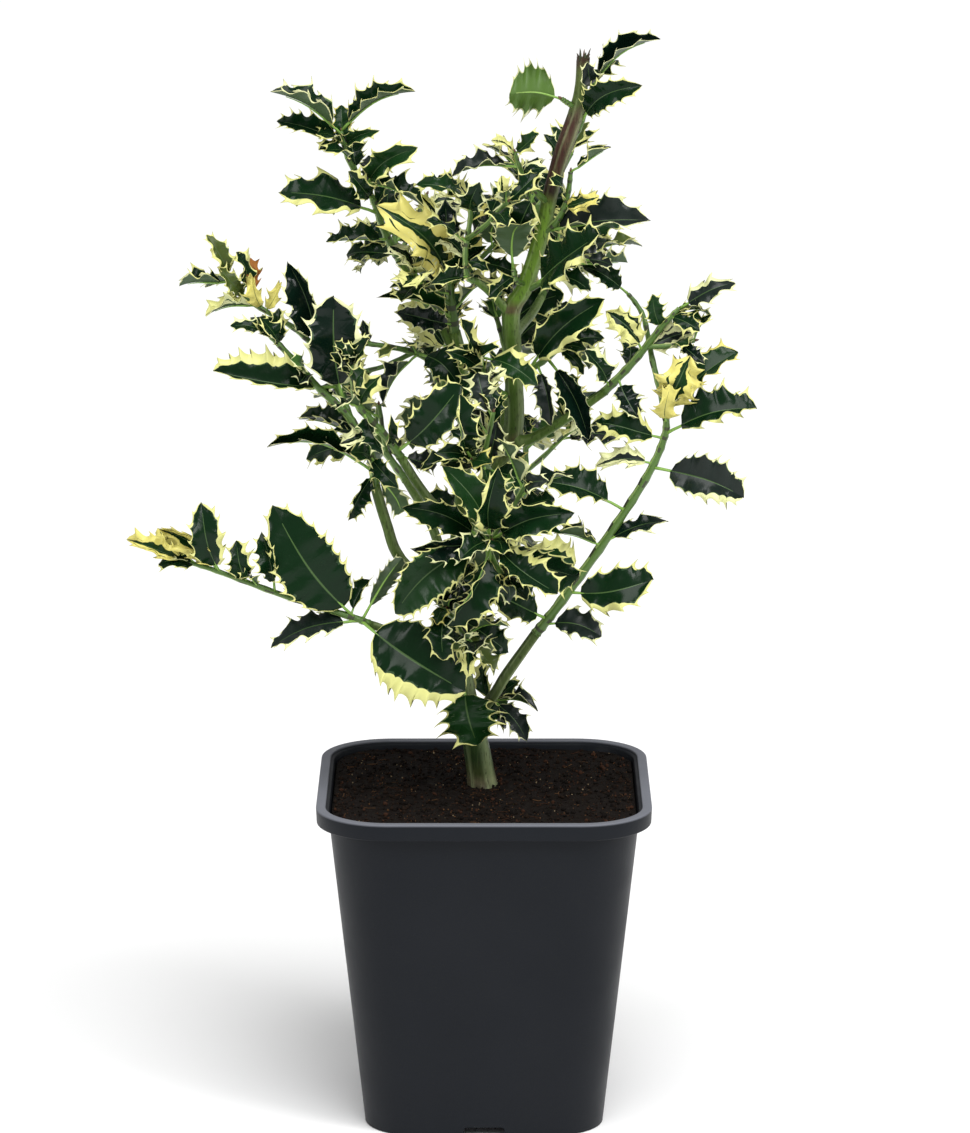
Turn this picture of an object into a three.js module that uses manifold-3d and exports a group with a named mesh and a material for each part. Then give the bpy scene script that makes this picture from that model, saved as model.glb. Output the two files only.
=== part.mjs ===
// A young variegated holly tree in a square nursery pot.
// Millimetres, +Z up, +X to the plant's right as seen from its front (-Y).
// The origin is the middle of the pot's flat underside.

import * as THREE from 'three';
import Module from 'manifold-3d';

const wasm = await Module();
wasm.setup();

// ---------------------------------------------------------------- driving sizes

const GAP = 0.3;                 // clearance between neighbouring solids
const CUT_GAP = 0.42;            // what a limb is grown by before another is cut to it

const POT = {
  height: 221.5, rimHalf: 110, rimCorner: 48,
  footHalf: 79, footCorner: 34, footEdge: 3, footBevel: 1,
  lipHeight: 11, lipStep: 8.5, lipFlat: 6.5, lipEdge: 1.5, lipDraft: 0.5, lipInner: 2,
  wall: 2, floor: 9, cornerSteps: 5,
  notchWidth: 27, notchHeight: 6, notchDepth: 28,
};
const SOIL_TOP = 217;

// trunk stations from the soil to the cut tip: right, away, up, radius
const TRUNK = [
  [-1, 8, 212, 10.4], [-2, 8, 222, 9.2], [-6, 6, 247, 8.6], [-14, 3, 283, 8.2],
  [-19, 0, 318, 7.6], [-22, 0, 353, 7.0], [-19, 0, 373, 6.7], [-9, 2, 395, 6.3],
  [5, 5, 427, 6.1], [19, 5, 456, 6.4], [19, 4, 506, 5.7], [18, 3, 537, 5.8],
  [27, 2, 555, 5.2], [38, 0, 591, 5.0], [43, -1, 615, 4.9], [51, -3, 644, 5.3],
  [60, -4, 670, 4.8], [63, -4, 687, 4.1], [64, -4, 705, 4.3],
];
const TRUNK_SIDES = 9;
const BOUGH_SIDES = 6;
const TWIG_SIDES = 3;

// a bough leaves its parent at a height and runs through its stations: right, away, up
const BOUGHS = [
  { name: 'bough_centre', on: 'trunk', at: 366, girth: [4.8, 3.9],
    run: [[-15, 20, 407], [-12, 30, 449], [-15, 32, 497], [-19, 30, 518]] },
  { name: 'bough_upper_left', on: 'bough_centre', at: 500, girth: [3.4, 2.7],
    run: [[-38, 35, 539], [-55, 36, 565]] },
  { name: 'bough_left', on: 'trunk', at: 338, girth: [3.9, 3.3],
    run: [[-54, -18, 376], [-64, -22, 402], [-71, -24, 427]] },
  { name: 'bough_left_inner', on: 'trunk', at: 390, girth: [3.5, 2.8],
    run: [[-35, -24, 417], [-54, -38, 449]] },
  { name: 'bough_lower_left', on: 'trunk', at: 312, girth: [3.3, 2.5],
    run: [[-54, -24, 327], [-74, -32, 336]] },
  { name: 'bough_lower_right', on: 'trunk', at: 260, girth: [3.8, 3.4],
    run: [[6, -6, 281], [15, -10, 297], [34, -16, 326]] },
  { name: 'bough_right', on: 'trunk', at: 453, girth: [3.4, 2.8],
    run: [[29, -1, 453], [52, -6, 467], [78, -8, 486]] },
  { name: 'bough_short', on: 'trunk', at: 535, girth: [2.7, 2.2],
    run: [[4, -2, 551], [-5, -5, 559]] },
  { name: 'bough_front', on: 'trunk', at: 378, girth: [3.4, 2.6],
    run: [[-10, -22, 386], [-3, -42, 393]] },
  { name: 'bough_back_low', on: 'trunk', at: 300, girth: [3.6, 2.8],
    run: [[-8, 40, 318], [0, 72, 334]] },
  { name: 'bough_back_left', on: 'trunk', at: 350, girth: [3.6, 2.7],
    run: [[-34, 38, 385], [-52, 62, 412]] },
  { name: 'bough_back_right', on: 'trunk', at: 402, girth: [3.5, 2.7],
    run: [[20, 42, 396], [26, 70, 404]] },
  { name: 'bough_back_centre', on: 'trunk', at: 446, girth: [3.5, 2.7],
    run: [[14, 40, 462], [18, 72, 478]] },
  { name: 'bough_back_upper', on: 'trunk', at: 522, girth: [3.3, 2.6],
    run: [[30, 36, 528], [38, 64, 536]] },
];

// ---------------------------------------------------------------- leaves

const LEAF = {
  thick: 0.03,                   // share of the length
  stalk: [0.75, 1.1],            // half width and depth of the leaf stalk
  neck: 0.11,                    // share of the length where the blade begins
  rise: 0.07, wave: 0.05,
  middle: 0.48,                  // where the blade is thickest
  // half outline from neck to tip: share of the length, of the half width, and wave
  edge: [[0.34, 1.0, 1], [0.71, 0.88, -0.4]],
  fullness: 1.15,                // how the width runs along the blade in the clearance test
};

// Leaf rows: place along the stem, run to the tip (right, away, up), width as a share
// of the length, and the way the blade faces (0 sky, 90 front, -90 back).
// `more` leaves follow by rule, of about `size` mm, and `twigs` side twigs carry their own.
const SHOOTS = [
  { name: 'leaves_lower_left', on: 'bough_lower_left', girth: [2.4, 1.3], seed: 11,
    run: [[-85, -34, 341], [-131, -38, 357], [-174, -41, 374], [-194, -40, 380]],
    rows: [[0.06, 69, -27, -40, 0.6, 62], [0.08, -51, -12, 76, 0.47, 70],
      [0.05, -60, -11, -12, 0.23, 30], [0.05, 26, -3, 44, 0.22, -60], [0.11, 12, 18, 22, 0.34, 60],
      [0.39, -5, 7, 23, 0.42, 55], [0.52, -8, -2, 40, 0.29, 60], [0.67, -6, -8, 28, 0.57, 60],
      [0.82, -10, -13, 46, 0.46, 70], [0.82, -40, 7, 29, 0.26, 50], [1.0, -38, 0, 16, 0.32, 40]],
    more: 3, size: 24, twigs: 0 },
  { name: 'leaves_left', on: 'bough_left', girth: [3.2, 1.5], seed: 23,
    run: [[-73, -26, 445], [-88, -28, 474], [-105, -30, 491], [-130, -30, 519],
      [-141, -28, 530]],
    rows: [[0.07, -17, -5, -31, 0.27, 50], [0.07, 20, -19, -25, 0.35, -70],
      [0.14, -12, -18, 9, 0.78, 60], [0.16, 18, -20, -16, 0.42, 65], [0.22, -44, 17, 16, 0.29, 45],
      [0.07, -69, 7, 20, 0.12, 20], [0.99, -23, -6, 7, 0.46, 45], [0.7, -4, -14, -2, 0.72, 50]],
    arm: { from: 0.36, girth: [2.3, 1.3],
      run: [[-97, -22, 496], [-107, -22, 515], [-124, -18, 531], [-151, -16, 547],
        [-165, -14, 560]],
      rows: [[0.2, -79, -19, 15, 0.3, 62], [0.12, -5, -21, 70, 0.37, 75],
        [0.43, -18, -3, 58, 0.28, 70], [0.81, -33, -8, -2, 0.27, 30], [0.89, -15, -9, 20, 0.49, 60],
        [0.78, -6, -8, 23, 0.4, 60], [0.85, -2, 8, 30, 0.27, 70], [0.76, 10, -5, 19, 0.42, 60],
        [1.0, -33, 2, 1, 0.27, 35], [1.0, -14, -4, 31, 0.38, 75]] },
    more: 4, size: 26, twigs: 0 },
  { name: 'leaves_left_inner', on: 'bough_left_inner', girth: [2.7, 1.8], seed: 35,
    run: [[-64, -42, 464], [-81, -48, 485], [-84, -50, 501], [-85, -50, 512]],
    rows: [[0.06, 40, -15, 46, 0.46, 70], [0.14, 0, -20, 20, 0.3, 65],
      [0.3, -25, -17, -2, 0.43, 50], [0.55, 12, -19, -22, 0.29, 65], [0.62, 13, -12, 21, 0.62, 70],
      [0.03, 27, 13, -9, 0.5, 60], [1.0, -10, -10, 17, 0.47, 60], [1.0, 11, -8, 19, 0.47, 60]],
    more: 5, size: 32, twigs: 0 },
  { name: 'leaves_upper_left', on: 'bough_upper_left', girth: [2.6, 1.4], seed: 47,
    run: [[-63, 35, 580], [-69, 32, 596], [-75, 30, 612], [-88, 26, 633], [-93, 24, 653]],
    rows: [[0.17, -40, -15, 2, 0.33, 55], [0.61, 40, -21, -12, 0.28, 50],
      [0.37, -64, -12, 17, 0.19, 35], [0.57, 35, -9, 27, 0.34, 60], [0.97, -45, -4, 31, 0.29, 40],
      [1.0, 46, -6, 30, 0.2, 20], [0.92, -44, 9, 14, 0.28, 35], [0.47, -14, -17, 21, 0.47, 62],
      [0.9, 20, -17, 13, 0.32, 60], [0.93, -16, -9, -4, 0.49, 50]],
    more: 6, size: 30, twigs: 0 },
  { name: 'leaves_centre', on: 'bough_centre', girth: [3.2, 1.9], seed: 59,
    run: [[-22, 27, 545], [-22, 24, 566]],
    rows: [[1.0, -3, -14, 42, 0.5, 75], [0.66, -40, -34, 58, 0.2, 55],
      [0.7, 23, -32, 31, 0.22, 50], [0.55, -37, -21, 11, 0.3, 50], [0.2, -49, -29, 21, 0.12, 30],
      [0.12, -36, -11, 12, 0.4, 60], [0.8, -35, -3, 11, 0.32, 50], [1.0, -21, 12, 45, 0.23, 40]],
    more: 6, size: 40, twigs: 2 },
  { name: 'leaves_short', on: 'bough_short', girth: [2.1, 1.6], seed: 61,
    run: [[-11, -8, 563], [-12, -10, 580], [-9, -10, 600], [-9, -10, 614]],
    rows: [[1.0, -34, -6, 12, 0.36, 50], [0.85, 5, -20, 20, 0.6, 70], [0.3, 15, -5, -4, 0.62, 55],
      [0.12, -22, -28, 3, 0.33, 50]],
    more: 4, size: 32, twigs: 1 },
  { name: 'leaves_cross', on: 'bough_centre', at: 488, girth: [2.2, 1.5], seed: 73,
    run: [[-46, 26, 506], [-76, 20, 513]],
    rows: [[0.5, 27, -24, -15, 0.56, 60], [0.5, -23, -20, -29, 0.22, 55],
      [1.0, -3, -6, 16, 0.46, 60], [1.0, -17, -6, -1, 0.51, 40]],
    more: 4, size: 27, twigs: 1 },
  { name: 'leaves_lower_right', on: 'bough_lower_right', girth: [3.3, 1.3], seed: 85,
    run: [[48, -20, 345], [79, -23, 390], [105, -23, 431], [117, -20, 457], [118, -17, 474],
      [110, -4, 506], [104, 6, 534], [94, 10, 548]],
    rows: [[0.03, 38, -10, -4, 0.6, 55], [0.14, 54, -12, 12, 0.55, 70],
      [0.05, -52, -18, 32, 0.5, 60], [0.30, 42, 4, 15, 0.36, 35],
      [0.40, -52, -8, 24, 0.44, 45], [0.53, 60, -12, -14, 0.44, 55],
      [0.54, -37, -4, 3, 0.4, 40], [0.62, 58, -8, 21, 0.46, 55],
      [0.61, -44, 0, 14, 0.42, 40], [0.68, 15, -14, 38, 0.7, 70],
      [0.67, 46, 8, 42, 0.36, 50], [0.65, 2, -18, 26, 0.5, 75],
      [0.20, -32, -10, 20, 0.7, 65], [0.29, -30, -6, 12, 0.25, 30],
      [1.0, -30, -6, 22, 0.35, 45]],
    more: 0, size: 26, twigs: 0 },
  { name: 'leaves_right', on: 'bough_right', girth: [2.7, 1.6], seed: 97,
    run: [[98, -8, 507], [116, -8, 530], [127, -6, 541]],
    rows: [[1.0, 34, -4, 20, 0.45, 45], [0.5, 34, 10, 12, 0.5, 50],
      [0.06, -14, -14, 26, 0.5, 60], [0.5, -22, -10, 28, 0.5, 60],
      [0.18, 6, -12, -27, 0.55, 65], [0.9, 18, -14, -6, 0.6, 50]],
    more: 5, size: 32, twigs: 1 },
  { name: 'leaves_rosette', on: 'bough_front', girth: [2.5, 1.7], seed: 109,
    run: [[3, -62, 398], [5, -78, 403]],
    rows: [[0.6, -28, -12, 51, 0.39, 66], [0.95, 48, -24, 26, 0.35, 52], [0.8, 47, 7, 6, 0.18, 30],
      [1.0, 42, -24, -29, 0.4, 62], [0.6, 59, 14, -26, 0.34, 60], [0.35, -53, -1, 25, 0.31, 62],
      [0.6, -50, -14, 1, 0.25, 50], [0.7, -62, 1, -48, 0.38, 66], [1.0, -29, -26, -49, 0.27, 72],
      [0.7, -10, 3, -53, 0.32, 75], [0.95, 16, -24, 51, 0.31, 66]],
    more: 4, size: 38, twigs: 2 },
  { name: 'leaves_middle', on: 'trunk', at: 424, girth: [2.6, 1.8], seed: 121,
    run: [[2, -26, 440], [-8, -56, 452]],
    rows: [[0.95, -24, -17, 8, 0.43, 55], [0.55, 7, -11, 30, 0.64, 70],
      [0.4, 31, -14, -9, 0.44, 60], [1.0, -6, -22, 42, 0.28, 70], [0.8, -38, -2, -4, 0.34, 50]],
    more: 5, size: 38, twigs: 2 },
  { name: 'leaves_low_middle', on: 'trunk', at: 334, girth: [2.5, 1.7], seed: 133,
    run: [[-22, -26, 342], [-24, -44, 350]],
    rows: [[0.9, -15, -10, 35, 0.33, 68], [0.5, 38, -8, -24, 0.6, 66],
      [0.9, -10, -22, -26, 0.58, 70]],
    more: 5, size: 38, twigs: 1 },
  { name: 'leaves_foot_left', on: 'trunk', at: 284, girth: [2.0, 1.5], seed: 145,
    run: [[-13, -10, 290], [-13, -16, 293]],
    rows: [[0.9, 9, -10, -40, 0.95, 70]], more: 0, size: 24, twigs: 0 },
  { name: 'leaves_foot_right', on: 'trunk', at: 266, girth: [2.0, 1.4], seed: 157,
    run: [[2, 16, 270], [8, 18, 273]],
    rows: [[0.9, 30, -6, -2, 0.36, 30], [0.9, 24, -10, -24, 0.42, 30],
      [0.8, -4, 10, 26, 0.4, 60]], more: 2, size: 26, twigs: 0 },
  { name: 'leaves_leader_low_left', on: 'trunk', at: 478, girth: [2.4, 1.6], seed: 169,
    run: [[4, -9, 492], [-2, -13, 510]],
    rows: [[1.0, 37, -21, -14, 0.47, 52], [0.6, -27, -13, 23, 0.31, 50],
      [0.8, -19, -10, -17, 0.53, 60], [1.0, -12, -7, 27, 0.38, 60]],
    more: 6, size: 34, twigs: 1 },
  { name: 'leaves_leader_low_right', on: 'trunk', at: 494, girth: [2.4, 1.6], seed: 181,
    run: [[36, -4, 504], [50, -4, 516]],
    rows: [[0.35, 46, -19, 50, 0.31, 52], [0.7, 28, -22, -49, 0.24, 50],
      [0.5, 9, -19, -35, 0.29, 60], [0.95, 17, -10, -14, 0.41, 40]],
    more: 5, size: 36, twigs: 1 },
  { name: 'leaves_leader_right', on: 'trunk', at: 551, girth: [2.4, 1.6], seed: 193,
    run: [[44, -6, 562], [62, -4, 576]],
    rows: [[0.25, 39, -38, 40, 0.23, 45], [0.5, 25, -10, -7, 0.61, 50],
      [0.9, 25, -3, -1, 0.51, 50], [0.8, 39, 11, 2, 0.29, 30]],
    more: 6, size: 34, twigs: 1 },
  { name: 'leaves_leader_left', on: 'trunk', at: 556, girth: [2.1, 1.6], seed: 199,
    run: [[21, -9, 560], [19, -11, 568]],
    rows: [[1.0, 5, -29, 38, 0.55, -76], [0.8, -17, -16, -11, 0.46, 55]],
    more: 0, size: 30, twigs: 0 },
  { name: 'leaves_high_right', on: 'trunk', at: 588, girth: [2.2, 1.4], seed: 205,
    run: [[48, -8, 600], [54, -8, 615], [56, -8, 631]],
    rows: [[0.12, 67, -5, 9, 0.35, 50], [0.55, 22, -10, 8, 0.52, 60], [1.0, 25, -2, 18, 0.38, 30]],
    more: 3, size: 28, twigs: 0 },
  { name: 'leaves_high_left', on: 'trunk', at: 610, girth: [2.3, 1.4], seed: 217,
    run: [[34, -10, 618], [24, -12, 632], [20, -12, 644]],
    rows: [[0.35, -14, 3, -32, 0.66, 72], [0.78, -44, -4, -3, 0.32, 40],
      [1.0, -14, -8, 10, 0.5, 50], [1.0, 14, -10, 14, 0.6, 50], [0.7, 14, -12, 6, 0.6, 60]],
    more: 2, size: 28, twigs: 0 },
  { name: 'leaves_top_left', on: 'trunk', at: 672, girth: [1.9, 1.4], seed: 229,
    run: [[54, -8, 676], [50, -10, 679]],
    rows: [[0.9, -34, -8, 4, 1.08, -80]],
    more: 0, size: 24, twigs: 0 },
  { name: 'leaves_top_right', on: 'trunk', at: 646, girth: [2.1, 1.4], seed: 241,
    run: [[60, -2, 656], [66, -3, 672], [70, -4, 687]],
    rows: [[0.45, 33, -22, 28, 0.36, 55], [1.0, 42, -2, 32, 0.17, 20]],
    more: 1, size: 22, twigs: 0 },
  { name: 'leaves_back_low', on: 'bough_back_low', girth: [2.7, 1.6], seed: 253,
    run: [[4, 98, 350], [4, 116, 366]], rows: [], more: 6, size: 50, twigs: 2 },
  { name: 'leaves_back_left', on: 'bough_back_left', girth: [2.6, 1.6], seed: 265,
    run: [[-70, 82, 434], [-80, 94, 458]], rows: [], more: 6, size: 50, twigs: 2 },
  { name: 'leaves_back_right', on: 'bough_back_right', girth: [2.6, 1.6], seed: 291,
    run: [[28, 94, 416], [28, 108, 432]], rows: [], more: 6, size: 50, twigs: 2 },
  { name: 'leaves_back_centre', on: 'bough_back_centre', girth: [2.6, 1.5], seed: 289,
    run: [[14, 100, 496], [8, 118, 514]], rows: [], more: 6, size: 46, twigs: 2 },
  { name: 'leaves_back_upper', on: 'bough_back_upper', girth: [2.5, 1.5], seed: 301,
    run: [[46, 86, 550], [50, 96, 564]], rows: [], more: 6, size: 46, twigs: 2 },
  { name: 'leaves_back_mid_left', on: 'bough_centre', at: 455, girth: [2.6, 1.5], seed: 313,
    run: [[-30, 70, 476], [-38, 104, 496], [-36, 116, 510]],
    rows: [], more: 6, size: 46, twigs: 2 },
  { name: 'leaves_back_high_left', on: 'bough_upper_left', at: 560, girth: [2.3, 1.4],
    seed: 325, run: [[-58, 66, 568], [-60, 86, 584]],
    rows: [], more: 6, size: 38, twigs: 2 },
  { name: 'leaves_back_top', on: 'trunk', at: 596, girth: [2.3, 1.4], seed: 337,
    run: [[34, 28, 602], [26, 54, 612], [24, 62, 622]],
    rows: [], more: 6, size: 36, twigs: 2 },
  { name: 'leaves_back_inner_low', on: 'bough_back_low', at: 313, girth: [2.2, 1.4], seed: 349,
    run: [[-2, 34, 328], [-2, 44, 346]], rows: [], more: 7, size: 42, twigs: 0 },
  { name: 'leaves_back_inner', on: 'trunk', at: 394, girth: [2.3, 1.4], seed: 361,
    run: [[4, 24, 382], [4, 44, 376]], rows: [], more: 7, size: 42, twigs: 0 },
  { name: 'leaves_back_inner_high', on: 'trunk', at: 420, girth: [2.2, 1.4], seed: 373,
    run: [[4, 26, 424], [2, 44, 436]], rows: [], more: 7, size: 42, twigs: 0 },
];

// How leaves and side twigs follow by rule. A pair is a base and the span of a draw,
// and a third figure is the change from the stem's foot to its tip.
const RULE = {
  turn: 137.5,                   // degrees from one leaf to the next round the stem
  tries: 7, retryTurn: 41, seedTurn: 17, branchTurn: 70, jitter: 24,
  first: 0.22, firstOnTwig: 0.45,
  lean: [57, 16, -22], size: [1.12, 0.22, -0.3], shrink: 0.06,
  width: [0.46, 0.2], face: [-8, 62],
};
const SWING = { share: 0.09, turn: 100 };
const TWIG = {
  length: 34, stretch: [0.8, 0.5], girth: [1.7, 1.4], leaves: 3, spread: [0.25, 0.6],
  lean: 52, seedTurn: 31, retryTurn: 50, lift: 0.15, sag: 0.05, room: 16,
};
const CLEAR = {
  step: 5,                       // spacing of the points tried on a blade
  reach: 0.62,                   // share of a leaf's length it can reach from its middle
  freeRoot: 12,                  // near its own root a leaf may touch what it grows on
  lowest: 226, twigLowest: 236,
  row: { leaf: 6.2, ownLeaf: 2.4, ownStem: -3, limb: 2.6 },
  more: { leaf: 6.6, ownLeaf: 4.2, ownStem: 1.5, limb: 3.4, open: true },
};
// Openings through the crown, as seen from the front and a little above: from and to across, from
// and to up, and how far back they reach. The last four keep the front of the trunk bare.
const VIEW_RISE = Math.PI * 13 / 180;
const OPENINGS = [
  [-180, -149, 315, 346, 300], [-128, -95, 336, 358, 300], [-132, -100, 315, 332, 300],
  [76, 111, 537, 565, 300], [117, 135, 528, 551, 300], [142, 159, 503, 516, 300],
  [144, 164, 469, 487, 300], [-90, -60, 538, 557, 300], [-86, -59, 506, 533, 300],
  [-75, -51, 471, 496, 300], [-12, 10, 509, 527, 300], [-66, -55, 442, 463, 300],
  [-87, -76, 448, 460, 300], [53, 76, 604, 626, 300], [4, 40, 632, 646, 300],
  [-57, -35, 606, 619, 300], [-9, 10, 605, 618, 300], [65, 90, 514, 534, 300],
  [37, 47, 481, 499, 300], [26, 51, 419, 437, 300], [54, 84, 372, 402, 300],
  [-94, -84, 390, 414, 300], [-121, -96, 450, 460, 300], [97, 116, 391, 412, 300],
  [20, 37, 303, 336, 300], [102, 110, 477, 503, 300], [-92, -76, 346, 362, 300],
  [-177, -127, 402, 480, 300], [50, 143, 256, 310, 300], [12, 28, 440, 483, 0],
  [12, 28, 501, 527, 0], [17, 34, 527, 556, 0], [26, 47, 556, 592, 0],
];

const FINISH = {
  pot: [0x26272b, 0.45], soil: [0x1c120d, 0.95], trunk: [0x5c6435, 0.7],
  bough: [0x58702f, 0.6], leaves: [0x1f3b20, 0.35],
};

// ---------------------------------------------------------------- helpers

/** Seeded draws between 0 and 1, the same on every run. */
function draws(seed) {
  let state = seed * 7919 + 17;
  return () => {
    state = (state * 48271) % 2147483647;
    return state / 2147483647;
  };
}

const vec = (a) => new THREE.Vector3(a[0], a[1], a[2]);
const radians = (degrees) => degrees * Math.PI / 180;

/** A smooth line through stations, sampled evenly by station. */
function smoothLine(stations, perSpan) {
  const points = [];
  const last = stations.length - 1;
  const at = (i) => stations[Math.max(0, Math.min(last, i))];
  for (let i = 0; i < last; i++) {
    for (let k = 0; k < perSpan; k++) {
      points.push(onSpline(at(i - 1), at(i), at(i + 1), at(i + 2), k / perSpan));
    }
  }
  points.push(stations[last].slice());
  return points;
}

function onSpline(a, b, c, d, t) {
  return b.map((_, i) => 0.5 * (2 * b[i] + (c[i] - a[i]) * t
    + (2 * a[i] - 5 * b[i] + 4 * c[i] - d[i]) * t * t
    + (3 * b[i] - a[i] - 3 * c[i] + d[i]) * t * t * t));
}

/** Where a line of points is at a share of its length, and which way it runs there. */
function along(points, share) {
  const reach = [0];
  for (let i = 1; i < points.length; i++) {
    reach.push(reach[i - 1] + points[i].distanceTo(points[i - 1]));
  }
  const goal = share * reach[points.length - 1];
  let i = 1;
  while (i < points.length - 1 && reach[i] < goal) i++;
  const t = (goal - reach[i - 1]) / (reach[i] - reach[i - 1]);
  const dir = points[i].clone().sub(points[i - 1]).normalize();
  return { point: points[i - 1].clone().lerp(points[i], t), dir };
}

/** The point of a limb's line at a height. */
function atHeight(limb, height) {
  const p = limb.points;
  let i = 1;
  while (i < p.length - 1 && p[i].z < height) i++;
  const t = (height - p[i - 1].z) / (p[i].z - p[i - 1].z);
  return p[i - 1].clone().lerp(p[i], t);
}

/** Closed solid from vertices and triangles. */
function solid(vertices, triangles) {
  const mesh = new wasm.Mesh({
    numProp: 3,
    vertProperties: new Float32Array(vertices.flatMap((v) => [v.x, v.y, v.z])),
    triVerts: new Uint32Array(triangles.flat()),
  });
  return new wasm.Manifold(mesh);
}

/** Round tapering limb: rings of `sides` corners square to the line, closed at both ends. */
function limbSolid(points, radii, sides) {
  const vertices = [];
  const triangles = [];
  const n = points.length;
  let across = null;
  points.forEach((p, i) => {
    const dir = points[Math.min(n - 1, i + 1)].clone().sub(points[Math.max(0, i - 1)]).normalize();
    if (!across) across = new THREE.Vector3(0, -1, 0).cross(dir);
    across.addScaledVector(dir, -across.dot(dir)).normalize();
    const up = dir.clone().cross(across);
    for (let k = 0; k < sides; k++) {
      const a = 2 * Math.PI * k / sides;
      vertices.push(p.clone().addScaledVector(across, radii[i] * Math.cos(a))
        .addScaledVector(up, radii[i] * Math.sin(a)));
    }
  });
  for (let i = 0; i < n - 1; i++) {
    for (let k = 0; k < sides; k++) {
      const a = i * sides + k;
      const b = i * sides + (k + 1) % sides;
      triangles.push([a, b, b + sides], [a, b + sides, a + sides]);
    }
  }
  for (let k = 1; k < sides - 1; k++) {
    triangles.push([0, k + 1, k]);
    triangles.push([(n - 1) * sides, (n - 1) * sides + k, (n - 1) * sides + k + 1]);
  }
  return solid(vertices, triangles);
}

/** The largest closed body of a cut solid. */
function largest(manifold) {
  return manifold.decompose().sort((a, b) => b.volume() - a.volume())[0];
}

const tapered = (girth, n) => Array.from({ length: n },
  (_, i) => girth[0] + (girth[1] - girth[0]) * i / (n - 1));

// ---------------------------------------------------------------- pot and soil

/** One level of a rounded square, corner by corner. */
function roundedSquare(half, corner, z) {
  const ring = [];
  for (let quarter = 0; quarter < 4; quarter++) {
    const mid = radians(45 + 90 * quarter);
    const cx = Math.sign(Math.cos(mid)) * (half - corner);
    const cy = Math.sign(Math.sin(mid)) * (half - corner);
    for (let k = 0; k <= POT.cornerSteps; k++) {
      const a = radians(90 * quarter + 90 * k / POT.cornerSteps);
      ring.push(new THREE.Vector3(cx + corner * Math.cos(a), cy + corner * Math.sin(a), z));
    }
  }
  return ring;
}

/** Skin over stacked rings, closed by a flat face at each end. */
function stack(rings) {
  const n = rings[0].length;
  const triangles = [];
  for (let i = 0; i < rings.length - 1; i++) {
    for (let k = 0; k < n; k++) {
      const a = i * n + k;
      const b = i * n + (k + 1) % n;
      triangles.push([a, b, b + n], [a, b + n, a + n]);
    }
  }
  const top = (rings.length - 1) * n;
  for (let k = 1; k < n - 1; k++) triangles.push([0, k + 1, k], [top, top + k, top + k + 1]);
  return solid(rings.flat(), triangles);
}

/** Half width of the pot's outside at a height below the lip. */
function potHalf(z) {
  const under = POT.rimHalf - POT.lipStep;
  return POT.footHalf + (under - POT.footHalf) * z / (POT.height - POT.lipHeight);
}

function potCorner(z) {
  return POT.footCorner + (POT.rimCorner - POT.lipStep - POT.footCorner) * z / POT.height;
}

function makePot() {
  const { height, lipHeight, lipEdge, lipDraft, lipInner, rimHalf, rimCorner } = POT;
  const { footEdge, footBevel, wall, floor } = POT;
  const lipFoot = height - lipHeight;
  const outside = stack([
    roundedSquare(potHalf(0) - footEdge, potCorner(0) - footEdge, 0),
    roundedSquare(potHalf(footBevel) - footBevel, potCorner(footBevel) - footBevel, footBevel),
    roundedSquare(potHalf(footEdge), potCorner(footEdge), footEdge),
    roundedSquare(potHalf(lipFoot), potCorner(lipFoot), lipFoot),
    roundedSquare(rimHalf - lipDraft, rimCorner - lipDraft, lipFoot),
    roundedSquare(rimHalf, rimCorner, height - lipEdge),
    roundedSquare(rimHalf - lipEdge, rimCorner - lipEdge, height),
  ]);
  const inner = (z, inset) => roundedSquare(potHalf(z) - wall - inset,
    potCorner(z) - wall - inset, z);
  const rimInner = rimHalf - POT.lipFlat;
  const rimInnerCorner = rimCorner - POT.lipFlat;
  const inside = stack([
    inner(floor, footEdge),
    inner(floor + footEdge, 0),
    inner(lipFoot - wall, 0),
    roundedSquare(rimInner - lipInner, rimInnerCorner - lipInner, height - lipInner),
    roundedSquare(rimInner, rimInnerCorner, height + lipEdge),
  ]);
  let pot = outside.subtract(inside);
  for (let side = 0; side < 4; side++) {
    const block = [2 * POT.notchDepth, POT.notchWidth, 2 * POT.notchHeight];
    const notch = wasm.Manifold.cube(block, true).translate([potHalf(0), 0, 0]);
    pot = pot.subtract(notch.rotate([0, 0, 90 * side]));
  }
  return pot;
}

function makeSoil() {
  const inner = (z, inset) => roundedSquare(potHalf(z) - POT.wall - GAP - inset,
    potCorner(z) - POT.wall - GAP - inset, z);
  const lipFoot = POT.height - POT.lipHeight;
  return stack([
    inner(POT.floor + GAP, POT.footEdge),
    inner(POT.floor + GAP + POT.footEdge, 0),
    inner(lipFoot - POT.wall, 0),
    inner(SOIL_TOP, 0),
  ]);
}

// ---------------------------------------------------------------- limbs

/** A limb's line and solid, with a grown copy that its neighbours are cut to. */
function makeLimb(points, radii, sides) {
  const grown = radii.map((r) => r + CUT_GAP);
  return { points, radii, solid: limbSolid(points, radii, sides),
    grown: limbSolid(points, grown, sides) };
}

function makeTrunk() {
  const stations = smoothLine(TRUNK, 1);
  const limb = makeLimb(stations.map(vec), stations.map((s) => s[3]), TRUNK_SIDES);
  limb.solid = limb.solid.trimByPlane([0, 0, 1], SOIL_TOP + GAP);
  return limb;
}

function makeBough(spec, parent) {
  const root = atHeight(parent, spec.at).toArray();
  const stations = smoothLine([root, ...spec.run], 2);
  const limb = makeLimb(stations.map(vec), tapered(spec.girth, stations.length), BOUGH_SIDES);
  limb.solid = largest(limb.solid.subtract(parent.grown));
  return limb;
}

// ---------------------------------------------------------------- leafy shoots

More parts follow.
